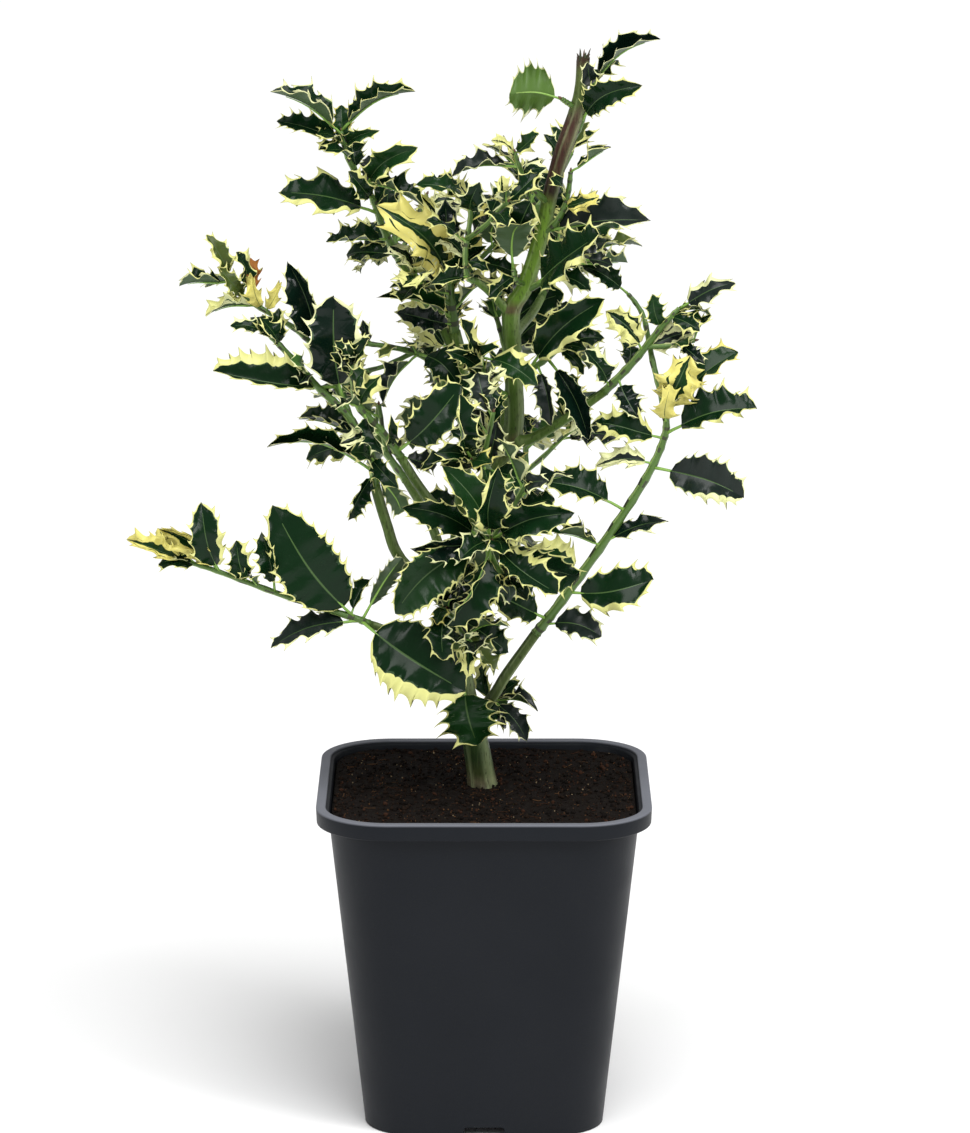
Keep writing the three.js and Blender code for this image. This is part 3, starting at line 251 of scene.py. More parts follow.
# How far a leaf keeps from what grows already: by row, or by rule and so out of the openings.
CLEAR = dict(
    step=5, reach=0.62, free_root=12, lowest=226, twig_lowest=236,
    row=dict(leaf=6.2, own_leaf=2.4, own_stem=-3, limb=2.6),
    more=dict(leaf=6.6, own_leaf=4.2, own_stem=1.5, limb=3.4, open=True),
)
# Young leaves stand round each tip, and others fill the bare stretches of the back shoots.
FINE = dict(
    seed_shift=500, tip_leaves=2, tip_turn=151, tip_lean=(16, 34), tip_length=(18, 16),
    tip_back=0.1, fill_step=36, fill_turn=137.5, fill_lean=(46, 26), fill_length=(32, 16),
    fill_first=0.2, width=(0.5, 0.25), face=(-5, 70), tries=6, retry_turn=53, shrink=0.1,
    room=dict(leaf=2.6, own_leaf=1.4, own_stem=-2, limb=1.2, open=True), margin=4,
)

# Openings through the crown, as seen from the front and a little above: from and to across, from
# and to up. They reach back through it all, and those that keep the trunk bare as far as that.
VIEW_RISE = 13
BACK_OF_CROWN, BACK_OF_TRUNK = 300, 0
OPENINGS = [
    (-180, -149, 315, 346), (-128, -95, 336, 358), (-132, -100, 315, 332), (76, 111, 537, 565),
    (117, 135, 528, 551), (142, 159, 503, 516), (144, 164, 469, 487), (-90, -60, 538, 557),
    (-86, -59, 506, 533), (-75, -51, 471, 496), (-12, 10, 509, 527), (-66, -55, 442, 463),
    (-87, -76, 448, 460), (53, 76, 604, 626), (4, 40, 632, 646), (-57, -35, 606, 619),
    (-9, 10, 605, 618), (65, 90, 514, 534), (37, 47, 481, 499), (26, 51, 419, 437), (54, 84, 372, 402),
    (-94, -84, 390, 414), (-121, -96, 450, 460), (97, 116, 391, 412), (20, 37, 303, 336),
    (102, 110, 477, 503), (-92, -76, 346, 362), (-177, -127, 402, 480), (50, 143, 256, 310),
]
BARE_TRUNK = [
    (12, 28, 440, 483), (12, 28, 501, 527), (17, 34, 527, 556), (26, 47, 556, 592),
]


# ------ lines and draws

# The draws' generator: its factor and its range, and how a seed is spread before its first draw.
DRAWS = dict(factor=48271, range=2147483647, seed_factor=7919, seed_shift=17)


def draws(seed):
    """Seeded draws between 0 and 1, the same on every run."""
    state = seed * DRAWS["seed_factor"] + DRAWS["seed_shift"]
    while True:
        state = (state * DRAWS["factor"]) % DRAWS["range"]
        yield state / DRAWS["range"]


def within(pair, share):
    """A value that begins at a base and goes on by a share of a span."""
    return pair[0] + pair[1] * share


def deselect():
    bpy.ops.object.select_all(action="DESELECT")


def unit(a):
    return a / np.linalg.norm(a)


def smooth_line(stations, per_span):
    """A smooth line through stations, sampled evenly by station."""
    rows = np.array(stations, float)
    last = len(rows) - 1
    line = []
    for i in range(last):
        a, b, c, d = (rows[min(max(i + k, 0), last)] for k in (-1, 0, 1, 2))
        for t in np.arange(per_span) / per_span:
            line.append(0.5 * (2 * b + (c - a) * t + (2 * a - 5 * b + 4 * c - d) * t ** 2
                               + (3 * b - a - 3 * c + d) * t ** 3))
    return np.array(line + [rows[last]])


def along(points, share):
    """Where a line is at a share of its length, and which way it runs there."""
    steps = np.linalg.norm(np.diff(points, axis=0), axis=1)
    reach = np.concatenate([[0], np.cumsum(steps)])
    goal = share * reach[-1]
    i = 1
    while i < len(points) - 1 and reach[i] < goal:
        i += 1
    t = (goal - reach[i - 1]) / steps[i - 1]
    return points[i - 1] + (points[i] - points[i - 1]) * t, unit(points[i] - points[i - 1])


def at_height(points, height):
    """The point of a limb's line at a height."""
    i = 1
    while i < len(points) - 1 and points[i][2] < height:
        i += 1
    t = (height - points[i - 1][2]) / (points[i][2] - points[i - 1][2])
    return points[i - 1] + (points[i] - points[i - 1]) * t


def turned(a, axis, angle):
    """A direction turned about an axis, in radians."""
    return (a * cos(angle) + np.cross(axis, a) * sin(angle)
            + axis * np.dot(axis, a) * (1 - cos(angle)))


# A stem that leans sideways less than this share of its run counts as upright.
UPRIGHT = 0.1


def lean_off(way, turn, lean):
    """A direction that leans off a stem, turned round it by an angle."""
    side = np.cross([0, 0, 1], way)
    if np.linalg.norm(side) < UPRIGHT:
        side = np.array([1.0, 0, 0])
    side = unit(side)
    up = np.cross(way, side)
    t, l = radians(turn), radians(lean)
    return way * cos(l) + (side * cos(t) + up * sin(t)) * sin(l)


# ------ the plant's growth

class Line:
    """A limb, stem or twig: its points, its girth at each and the shoot it belongs to."""

    def __init__(self, points, radii, shoot=None):
        self.points = np.array(points, float)
        self.radii = np.array(radii, float)
        self.shoot = shoot

    def bark_distance(self, p):
        """How far points are from the bark, less than nothing inside it."""
        a, b = self.points[:-1], self.points[1:]
        run = b - a
        t = np.einsum("nsk,sk->ns", p[:, None] - a, run) / np.einsum("sk,sk->s", run, run)
        near = a + np.clip(t, 0, 1)[..., None] * run
        girth = np.maximum(self.radii[:-1], self.radii[1:])
        return (np.linalg.norm(p[:, None] - near, axis=2) - girth).min(axis=1)


class Leaf:
    """One leaf's frame and size, from where its root is and where it runs to."""

    def __init__(self, root, run, width_share, face, shoot, row=None):
        self.root, self.shoot, self.row = root, shoot, row
        self.length = np.linalg.norm(run)
        self.dir = run / self.length
        normal = np.array([0, -sin(radians(face)), cos(radians(face))])
        self.normal = unit(normal - self.dir * np.dot(normal, self.dir))
        self.side = np.cross(self.normal, self.dir)
        self.half = 0.5 * width_share * self.length
        self.middle = self.at(0.5, 0, 0)
        self.reach = CLEAR["reach"] * self.length
        self.grid = self.blade_grid()
        near_root = np.linalg.norm(self.grid - root, axis=1) < CLEAR["free_root"]
        self.outer = self.grid[~near_root]

    def at(self, u, v, w):
        return (self.root + self.dir * u * self.length + self.side * v * self.half
                + self.normal * w * self.length)

    def blade_grid(self):
        """Grid of points over the blade, for the clearance test."""
        points = []
        rows = ceil(self.length / CLEAR["step"])
        for i in range(1, rows + 1):
            u = i / rows
            full = (LEAF["neck"] + (1 - LEAF["neck"]) * u) ** LEAF["fullness"]
            width = sin(pi * full)
            cols = max(1, ceil(self.half * width / CLEAR["step"]))
            for j in range(-cols, cols + 1):
                points.append(self.at(u, width * j / cols, LEAF["rise"] * sin(pi * u)))
        return np.array(points)


def closes_opening(points):
    """True where points of a blade lie in an opening of the crown."""
    rise = radians(VIEW_RISE)
    up = points[:, 2] * cos(rise) + points[:, 1] * sin(rise)
    for back, openings in ((BACK_OF_CROWN, OPENINGS), (BACK_OF_TRUNK, BARE_TRUNK)):
        for left, right, low, high in openings:
            inside = (points[:, 1] < back) & (points[:, 0] > left) & (points[:, 0] < right)
            if (inside & (up > low) & (up < high)).any():
                return True
    return False


class Plant:
    """All limbs, stems and leaves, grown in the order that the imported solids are."""

    def __init__(self):
        trunk = smooth_line(TRUNK, 1)
        self.limbs = {"trunk": Line(trunk[:, :3], trunk[:, 3])}
        for name, (parent, at, girth, run) in BOUGHS.items():
            root = at_height(self.limbs[parent].points, at)
            points = smooth_line([root, *run], 2)
            self.limbs[name] = Line(points, np.linspace(*girth, len(points)), name)
        self.stems = {s["name"]: self.stem(s) for s in SHOOTS}
        self.arms = {s["name"]: self.arm(s) for s in SHOOTS if "arm" in s}
        self.wood = [*self.stems.values(), *self.arms.values()]
        self.random = {s["name"]: draws(s["seed"]) for s in SHOOTS}
        self.twigs = {}
        for spec in SHOOTS:
            self.twigs[spec["name"]] = self.side_twigs(spec)
            self.wood += self.twigs[spec["name"]]
        self.leaves = []
        for spec in SHOOTS:
            self.grow_rows(spec)
        for spec in SHOOTS:
            self.grow_more(spec)
        self.grow_fine()

    def stem(self, spec):
        parent = self.limbs[spec["on"]]
        if "at" in spec:
            root = at_height(parent.points, spec["at"])
        else:
            tip, before = parent.points[-1], parent.points[-2]
            root = tip + unit(tip - before) * GAP
        points = smooth_line([root, *spec["run"]], 2)
        return Line(points, np.linspace(*spec["girth"], len(points)), spec["name"])

    def arm(self, spec):
        root, _ = along(self.stems[spec["name"]].points, spec["arm"]["start"])
        points = smooth_line([root, *spec["arm"]["run"]], 2)
        return Line(points, np.linspace(*spec["arm"]["girth"], len(points)), spec["name"])

    def side_twigs(self, spec):
        """Side twigs by rule; one that would touch another stem is left out."""
        stem = self.stems[spec["name"]]
        random = self.random[spec["name"]]
        twigs = []
        for k in range(spec["twigs"]):
            share = TWIG["spread"][0] + TWIG["spread"][1] * (k + 0.5) / spec["twigs"]
            foot, way = along(stem.points, share)
            for attempt in range(RULE["tries"]):
                turn = (RULE["turn"] * (k + 1) + spec["seed"] * TWIG["seed_turn"]
                        + TWIG["retry_turn"] * attempt)
                reach = TWIG["length"] * within(TWIG["stretch"], next(random))
                tip = foot + lean_off(way, turn, TWIG["lean"]) * reach
                tip[2] += TWIG["lift"] * reach
                near = any(other is not stem and other.bark_distance(tip[None])[0] < TWIG["room"]
                           for other in self.wood)
                if near or tip[2] < CLEAR["twig_lowest"]:
                    continue
                middle = (foot + tip) / 2
                middle[2] -= TWIG["sag"] * reach
                girth = np.linspace(*TWIG["girth"], 3)
                twigs.append(Line([foot, middle, tip], girth, spec["name"]))
                break
        return twigs

    def clear(self, leaf, on, room):
        """True where a leaf is clear of the limbs, the stems and the leaves placed so far."""
        if leaf.grid[:, 2].min() < CLEAR["lowest"]:
            return False
        if room.get("open") and closes_opening(leaf.grid):
            return False
        for line in self.wood:
            own = line.shoot == leaf.shoot
            points = leaf.outer if own else leaf.grid
            if len(points) and line.bark_distance(points).min() < room["own_stem" if own else "limb"]:
                return False
        for name, limb in self.limbs.items():
            points = leaf.outer if name == on else leaf.grid
            if len(points) and limb.bark_distance(points).min() < room["limb"]:
                return False
        for other in self.leaves:
            if np.linalg.norm(other.middle - leaf.middle) > other.reach + leaf.reach:
                continue
            own = other.shoot == leaf.shoot
            mine, theirs = (leaf.outer, other.outer) if own else (leaf.grid, other.grid)
            if not len(mine) or not len(theirs):
                continue
            apart = np.linalg.norm(mine[:, None] - theirs[None], axis=2).min()
            if apart < room["own_leaf" if own else "leaf"]:
                return False
        return True

    def grow_rows(self, spec):
        """The leaves that a shoot's rows place; one in the way is swung aside, then left out."""
        lines = [(spec["rows"], self.stems[spec["name"]], 0)]
        if "arm" in spec:
            lines.append((spec["arm"]["rows"], self.arms[spec["name"]], len(spec["rows"])))
        random = self.random[spec["name"]]
        for rows, line, first in lines:
            for index, (share, right, away, up, width, face) in enumerate(rows):
                root, _ = along(line.points, share)
                run = np.array([right, away, up], float)
                axis, size = unit(run), np.linalg.norm(run)
                swing = lean_off(axis, 360 * next(random), 90)
                for attempt in range(RULE["tries"]):
                    bent = run + swing * SWING["share"] * attempt * size
                    leaf = Leaf(root, bent, width, face, spec["name"], first + index)
                    if self.clear(leaf, spec["on"], CLEAR["row"]):
                        self.leaves.append(leaf)
                        break
                    swing = turned(swing, axis, radians(SWING["turn"]))

    def grow_more(self, spec):
        """The leaves that follow by rule, round the stem and then round each side twig."""
        random = self.random[spec["name"]]
        lines = [(self.stems[spec["name"]], spec["more"], RULE["first"])]
        lines += [(t, TWIG["leaves"], RULE["first_on_twig"]) for t in self.twigs[spec["name"]]]
        lean, size, width, face = (RULE[k] for k in ("lean", "size", "width", "face"))
        for branch, (line, count, first) in enumerate(lines):
            for k in range(count):
                share = first + (1 - first) * (k + 0.5) / count
                root, way = along(line.points, share)
                start = (RULE["turn"] * k + RULE["seed_turn"] * spec["seed"]
                         + RULE["branch_turn"] * branch)
                for attempt in range(RULE["tries"]):
                    turn = start + RULE["retry_turn"] * attempt + RULE["jitter"] * next(random)
                    off = within(lean, next(random)) + lean[2] * share
                    long = (spec["size"] * (within(size, next(random)) + size[2] * share)
                            * (1 - RULE["shrink"] * attempt))
                    run = lean_off(way, turn, off) * long
                    facing = within(face, next(random))
                    broad = within(width, next(random))
                    leaf = Leaf(root, run, broad, facing, spec["name"])
                    if self.clear(leaf, spec["on"], CLEAR["more"]):
                        self.leaves.append(leaf)
                        break

    def lines_of(self, name):
        """A shoot's stem, its arm if it has one, and its side twigs."""
        arm = [self.arms[name]] if name in self.arms else []
        return [self.stems[name], *arm, *self.twigs[name]]

    def grow_fine(self):
        """Young leaves round each tip and small leaves between, kept within the plant's reach."""
        box = self.reach_box()
        for spec in SHOOTS:
            if not spec["more"]:
                continue
            random = draws(spec["seed"] + FINE["seed_shift"])
            for line in self.lines_of(spec["name"]):
                turn = 360 * next(random)
                for k in range(FINE["tip_leaves"]):
                    share = 1 - FINE["tip_back"] * next(random)
                    self.try_leaf(spec, line, share, turn + FINE["tip_turn"] * k, "tip", random, box)
                if spec["rows"]:
                    continue
                length = np.linalg.norm(np.diff(line.points, axis=0), axis=1).sum()
                count = int(length * (1 - FINE["fill_first"]) / FINE["fill_step"])
                for k in range(count):
                    share = FINE["fill_first"] + (1 - FINE["fill_first"]) * (k + 0.5) / count
                    self.try_leaf(spec, line, share, turn + FINE["fill_turn"] * k, "fill", random, box)

    def reach_box(self):
        """The box that the leaves of the rows and the rule reach, less a little on each side."""
        points = np.concatenate([leaf.grid for leaf in self.leaves])
        return points.min(axis=0) + FINE["margin"], points.max(axis=0) - FINE["margin"]

    def try_leaf(self, spec, line, share, turn, use, random, box):
        """One small leaf, turned on round the stem until it is clear, or left out."""
        root, way = along(line.points, share)
        for attempt in range(FINE["tries"]):
            off = within(FINE[use + "_lean"], next(random))
            long = within(FINE[use + "_length"], next(random)) * (1 - FINE["shrink"] * attempt)
            run = lean_off(way, turn + FINE["retry_turn"] * attempt, off) * long
            face = within(FINE["face"], next(random))
            width = within(FINE["width"], next(random))
            leaf = Leaf(root, run, width, face, spec["name"])
            inside = (leaf.grid > box[0]).all() and (leaf.grid < box[1]).all()
            if inside and self.clear(leaf, spec["on"], FINE["room"]):
                self.leaves.append(leaf)
                return


# ------ leaf forms

# What a face of a leaf shows, and what its underside shows.
GREEN, BLEND, CREAM, VEIN, UNDER, UNDER_CREAM, UNDER_VEIN = range(7)
UNDERSIDE = np.array([UNDER, UNDER, UNDER_CREAM, UNDER_VEIN])

# A kind of leaf: from which length on it is used, in mm, its teeth on each side, how far their
# spines stand out and the bays between them cut in (shares of the half width), how strongly the
# edge waves, how wide the cream edge is (a share of the half width), how thick the blade is, in
# mm, and how many thinly edged forms are made.
LEAF_KINDS = [
    dict(above=76, teeth=(7, 9), spine=0.15, bay=0.07, wave=0.07, edge=0.06, thick=0.5, forms=5),
    dict(above=48, teeth=(5, 7), spine=0.24, bay=0.14, wave=0.18, edge=0.065, thick=0.45, forms=7),
    dict(above=33, teeth=(4, 5), spine=0.32, bay=0.22, wave=0.27, edge=0.07, thick=0.4, forms=7),
    dict(above=21, teeth=(3, 4), spine=0.38, bay=0.26, wave=0.3, edge=0.075, thick=0.4, forms=6),
    dict(above=0, teeth=(2, 3), spine=0.46, bay=0.28, wave=0.32, edge=0.09, thick=0.35, forms=4),
]
# One tooth: steps along the edge from its point (1 is a tooth's spacing), how much of the spine
# and how much of the bay there is.
TOOTH = [(-0.36, 0.02, 0.85), (-0.2, 0.13, 0.45), (-0.08, 0.44, 0.08), (0, 1, 0), (0.05, 0.4, 0.1),
         (0.14, 0.1, 0.5), (0.3, 0, 0.9), (0.47, 0, 1)]
# How far the dark zone follows out into a spine, how much the cream edge swells and shrinks along
# the blade, and how much broader it is on a broad side.
CREAM_EDGE = dict(into_spine=0.3, swell=0.6, broad=0.32)
# Where a form is broadly cream, seen from its root with its top side up, and how many leaves of a
# hundred have that. In a flame the dark middle is a ragged streak.
CREAM_STYLES = dict(thin=70, left=8, right=8, both=5, flame=9)
# The dark middle of a flame (shares of the dark zone), its sway, its ragged edge and its limits,
# and the dark patches that are left near the rim.
FLAME = dict(streak=0.42, sway=0.3, ragged=0.07, limits=(0.08, 0.9), inside=0.98, patch=0.4,
             least=0.04)
# How an outline swells from its base and closes to its tip (the ends of a draw), its half width
# at the root and the shoulder after it, as a step along, a spine and a bay.
OUTLINE = dict(base=(0.46, 0.6), tip=(0.5, 0.74), root=0.05, shoulder=(0.03, 0, 0.2))
# The stretch of a blade that its teeth share, its start, where a tooth's point lies in its own
# part of it, how unequal the teeth are (the ends of draws), how spines and bays grow with the
# half width, and how far a point leans ahead.
TEETH = dict(stretch=0.9, start=0.08, point=0.55, spacing=(0.65, 1.35), strength=(0.3, 1.4),
             shift=(-0.14, 0.14), spine=(0.45, 0.55), bay=(0.7, 0.3), ahead=0.42)
# Where the lines between the zones run, as shares of the half width. The cream edge is drawn at a
# few places along the blade.
ZONES = dict(bay=0.9, edge=(0.4, 0.6), least=0.2, rim=0.97, inner=(0.87, 0.95), middle=0.5,
             vein=(0.016, 0.022), places=4, broad_places=5, broad_least=0.05, broad=(0.65, 0.75))
# The edge's waves: how they grow with the half width and from the root, and how much of them
# goes into the spines.
WAVES = dict(by_width=(0.3, 0.7), from_root=5, spine=0.6)
# Five lines run along each side of a blade, from the rim to the midrib. How far each follows the
# rim ahead and in its waves, and how high it lies (a share of the half width).
LINES = 10
FOLLOW_AHEAD = np.array([1, 0.85, 0.7, 0.3, 0])
FOLLOW_WAVES = np.array([1, 0.82, 0.66, 0.16, 0])
CROWN = np.array([-0.02, 0, 0.015, 0.05, 0])
SIDES = (("right", -1, [0, 1, 2, 3, 4]), ("left", 1, [9, 8, 7, 6, 5]))
# The strips between the lines, from rim to rim, that lie at the rim, next to it and inside that.
RIM_STRIPS, EDGE_STRIPS, INNER_STRIPS, MIDDLE_STRIP = [0, 8], [1, 7], [2, 6], 4
# How many of the steps along an edge strip show cream or a blend, how many do on a broad side,
# how far up the midrib shows, and how many steps are cream at the tip.
FLECKS = dict(cream=0.06, blend=0.3, broad=0.6, vein_end=0.85, tip_steps=3)


def leaf_outline(t, base, tip):
    """Half width of a blade at shares of its length, 1 at its widest."""
    full = t ** base * (1 - t) ** tip
    peak = base / (base + tip)
    return full / (peak ** base * (1 - peak) ** tip)


def shell_faces(rows, lines):
    """Faces of a grid of points, of its copy underneath and of the rim between the two."""
    below = rows * lines
    i, j = np.meshgrid(np.arange(rows - 1), np.arange(lines - 1), indexing="ij")
    corner = (i * lines + j).ravel()
    top = np.stack([corner, corner + lines, corner + lines + 1, corner + 1], axis=1)
    left = np.arange(rows - 1) * lines
    right = left + lines - 1
    foot = np.arange(lines - 1)
    tip = (rows - 1) * lines + foot
    rims = [
        (left, left + below, left + lines + below, left + lines),
        (right, right + lines, right + lines + below, right + below),
        (foot, foot + 1, foot + 1 + below, foot + below),
        (tip, tip + below, tip + 1 + below, tip + 1),
    ]
    return top, top[:, ::-1] + below, np.concatenate([np.stack(rim, axis=1) for rim in rims])


class Form:
    """A straight blade: points along (0 root, 1 tip), across and off it (in half widths)."""

    def __init__(self, kind, style, seed):
        self.kind, self.style, self.thick = kind, style, kind["thick"]
        self.random = np.random.default_rng(seed)
        self.lay_teeth()
        n = len(self.rows)
        self.across, self.ahead, self.lift = np.zeros((3, n, LINES))
        self.patches = np.zeros((n, 2), bool)
        self.broad = np.array([style in (hand, "both", "flame") for hand, _, _ in SIDES])
        for number, (_, side, order) in enumerate(SIDES):
            self.lay_lines(number, side, order)
            self.bend_lines(order)
        reach = LEAF["neck"] + (1 - LEAF["neck"]) * np.clip(self.rows[:, None] + self.ahead, 0, 1)
        self.points = np.stack([reach, self.across, self.lift], axis=2).reshape(-1, 3)
        top, bottom, rims = shell_faces(n, LINES)
        self.faces = np.concatenate([top, bottom, rims])
        zones = self.top_zones().ravel()
        self.zones = np.concatenate([zones, UNDERSIDE[zones], np.full(len(rims), CREAM)])

    def lay_teeth(self):
        """Where the rows lie along the blade, with the spine, the bay and the half width at each."""
        random, kind = self.random, self.kind
        self.teeth = random.integers(kind["teeth"][0], kind["teeth"][1] + 1)
        base, tip = random.uniform(*OUTLINE["base"]), random.uniform(*OUTLINE["tip"])
        self.step = TEETH["stretch"] / self.teeth
        spacing = random.uniform(*TEETH["spacing"], self.teeth)
        spacing *= TEETH["stretch"] / spacing.sum()
        self.peaks = TEETH["start"] + np.cumsum(spacing) - TEETH["point"] * spacing
        shape = np.array([(peak + at * apart, spine, bay) for peak, apart in zip(self.peaks, spacing)
                          for at, spine, bay in TOOTH])
        shape = np.concatenate([[(0, 0, 0), OUTLINE["shoulder"]], shape, [(1, 0, 0)]])
        self.rows, self.tooth, self.bay = np.clip(shape[:, 0], 0, 1), shape[:, 1], shape[:, 2]
        self.half = leaf_outline(self.rows, base, tip)
        self.half[0] = OUTLINE["root"]

    def by_tooth(self, low, high):
        """A draw for each tooth, smooth between them."""
        return np.interp(self.rows, self.peaks, self.random.uniform(low, high, self.teeth))

    def slow(self, places):
        """Draws between -1 and 1 at a few places along the blade, smooth between."""
        return np.interp(self.rows, np.linspace(0, 1, places), self.random.uniform(-1, 1, places))

    def edge_width(self, broad):
        """Width of the cream edge along one side."""
        width = self.kind["edge"] * (1 + CREAM_EDGE["swell"] * self.slow(ZONES["places"]))
        if broad:
            swell = np.clip(0.5 + self.slow(ZONES["broad_places"]), ZONES["broad_least"], 1)
            width += CREAM_EDGE["broad"] * swell * within(ZONES["broad"], self.rows)
        return width

    def lay_lines(self, number, side, order):
        """The lines of one side: its rim, the dark zone's edge, two inside it and the midrib's."""
        half, rows = self.half, self.rows
        strength = self.by_tooth(*TEETH["strength"])
        spine = self.kind["spine"] * self.tooth * strength * within(TEETH["spine"], half)
        cut = self.kind["bay"] * self.bay * within(TEETH["bay"], half)
        rim = half * (1 - cut) + spine
        width = self.edge_width(self.broad[number]) * within(ZONES["edge"], half)
        dark = np.maximum(half * (1 - ZONES["bay"] * cut) - width, half * ZONES["least"])
        if not self.broad[number]:
            dark += CREAM_EDGE["into_spine"] * spine
        dark = np.minimum(dark, rim * ZONES["rim"])
        inner = dark * self.random.uniform(*ZONES["inner"], len(rows))
        middle = dark * ZONES["middle"]
        if self.style == "flame":
            patch = np.clip(self.slow(2 * self.teeth), 0, 1)
            self.patches[:, number] = patch > FLAME["least"]
            inner = dark * (1 - FLAME["patch"] * patch)
            streak = FLAME["streak"] + FLAME["sway"] * self.slow(self.teeth)
            streak += self.random.uniform(-FLAME["ragged"], FLAME["ragged"], len(rows))
            middle = np.minimum(dark * np.clip(streak, *FLAME["limits"]), inner * FLAME["inside"])
        vein = half * within(ZONES["vein"], 1 - rows)
        self.across[:, order] = side * np.stack([rim, dark, inner, middle, vein], axis=1)

    def bend_lines(self, order):
        """How far the lines of one side are shifted ahead, and how they wave up and down."""
        edge, wave = order[0], self.kind["wave"]
        shift = self.by_tooth(*TEETH["shift"]) * self.step
        self.ahead[:, order] = shift[:, None] * FOLLOW_AHEAD
        self.ahead[:, edge] += TEETH["ahead"] * self.step * self.tooth
        phase = self.random.uniform(0, 2 * pi)
        swell = np.cos(pi * np.interp(self.rows, self.peaks, np.arange(self.teeth)) + phase)
        roll = wave * within(WAVES["by_width"], self.half) * swell
        roll *= np.minimum(1, WAVES["from_root"] * self.rows)
        self.lift[:, order] = roll[:, None] * FOLLOW_WAVES
        self.lift[:, edge] += wave * WAVES["spine"] * self.tooth * np.sign(swell)
        self.lift[:, order] += CROWN * self.half[:, None]

    def top_zones(self):
        """What each face of the top shows."""
        n = len(self.rows)
        zones = np.full((n - 1, LINES - 1), GREEN)
        zones[:, RIM_STRIPS] = CREAM
        draw = np.repeat(self.random.uniform(0, 1, (n, 2)), 2, axis=0)[:n - 1]
        flecks = np.where(draw < FLECKS["cream"], CREAM, np.where(draw < FLECKS["blend"], BLEND, GREEN))
        zones[:, EDGE_STRIPS] = np.where(self.broad & (draw < FLECKS["broad"]), BLEND, flecks)
        zones[:, MIDDLE_STRIP] = np.where(self.rows[:-1] < FLECKS["vein_end"], VEIN, GREEN)
        if self.style == "flame":
            zones[:, EDGE_STRIPS] = np.where(self.patches[:-1] | self.patches[1:], GREEN, CREAM)
            zones[:, INNER_STRIPS] = CREAM
        zones[-FLECKS["tip_steps"]:, EDGE_STRIPS] = CREAM
        return zones


# How many forms there are of each style other than thin.
STYLE_FORMS = 2


def make_forms():
    """The forms of every kind of leaf by their cream style, the large kinds first."""
    seed = 0
    kinds = []
    for kind in LEAF_KINDS:
        forms = {}
        for style in CREAM_STYLES:
            count = kind["forms"] if style == "thin" else STYLE_FORMS
            forms[style] = [Form(kind, style, seed + k) for k in range(count)]
            seed += count
        kinds.append(forms)
    return kinds


# How blades bend: a base and the span of a draw. Folds, twists and turns are in degrees.
BEND = dict(fold=(6, 20), twist=(-30, 60), sweep=(-0.09, 0.18), rise=(0.03, 0.11),
            curl=(-0.7, 0.66), lean=(0.25, 0.35))
# Where along a blade its twist passes through nothing and its curl begins, and how soon from its
# root it is turned in full.
BEND_PLACES = dict(twist=0.3, curl=0.5, turn=4)
# A blade that the plant has room for only narrowly has this half width at least (a share of its
# length): it is folded up and turned on its edge until it takes no more room.
FULL_WIDTH = (0.23, 0.06)


def bend_leaf(leaf, points, shape):
    """Points along, across and off a straight blade, in mm, moved into the leaf's place."""
    x, y, z = points[:, 0], points[:, 1], points[:, 2]
    u = x / leaf.length
    fold = radians(shape["fold"])
    twist = np.radians(shape["twist"]) * (u - BEND_PLACES["twist"])
    twist += radians(shape["roll"]) * np.minimum(1, BEND_PLACES["turn"] * u)
    y, z = y * cos(fold), z + np.abs(y) * sin(fold)
    y, z = y * np.cos(twist) - z * np.sin(twist), y * np.sin(twist) + z * np.cos(twist)
    z = z + leaf.length * (shape["rise"] * np.sin(pi * u)
                           + shape["curl"] * np.maximum(0, u - BEND_PLACES["curl"]) ** 2)
    y = y + leaf.length * shape["sweep"] * np.sin(pi * u)
    return (leaf.root + x[:, None] * leaf.dir + y[:, None] * leaf.side + z[:, None] * leaf.normal)


def draw_shape(leaf, look, random):
    """How one leaf bends, and its true half width."""
    shape = {key: base + span * random.uniform() for key, (base, span) in BEND.items()}
    share = look.get("broad", within(FULL_WIDTH, random.uniform()))
    shape["half"] = max(leaf.half, leaf.length * share)
    room = min(1, leaf.half / shape["half"])
    turn = acos(room) * shape["lean"]
    shape["roll"] = degrees(turn) * random.choice([-1, 1])
    shape["fold"] = max(shape["fold"], degrees(acos(room / cos(turn))))
    shape.update({key: look[key] for key in ("fold", "roll", "curl", "twist") if key in look})
    return shape


# ------ joined meshes

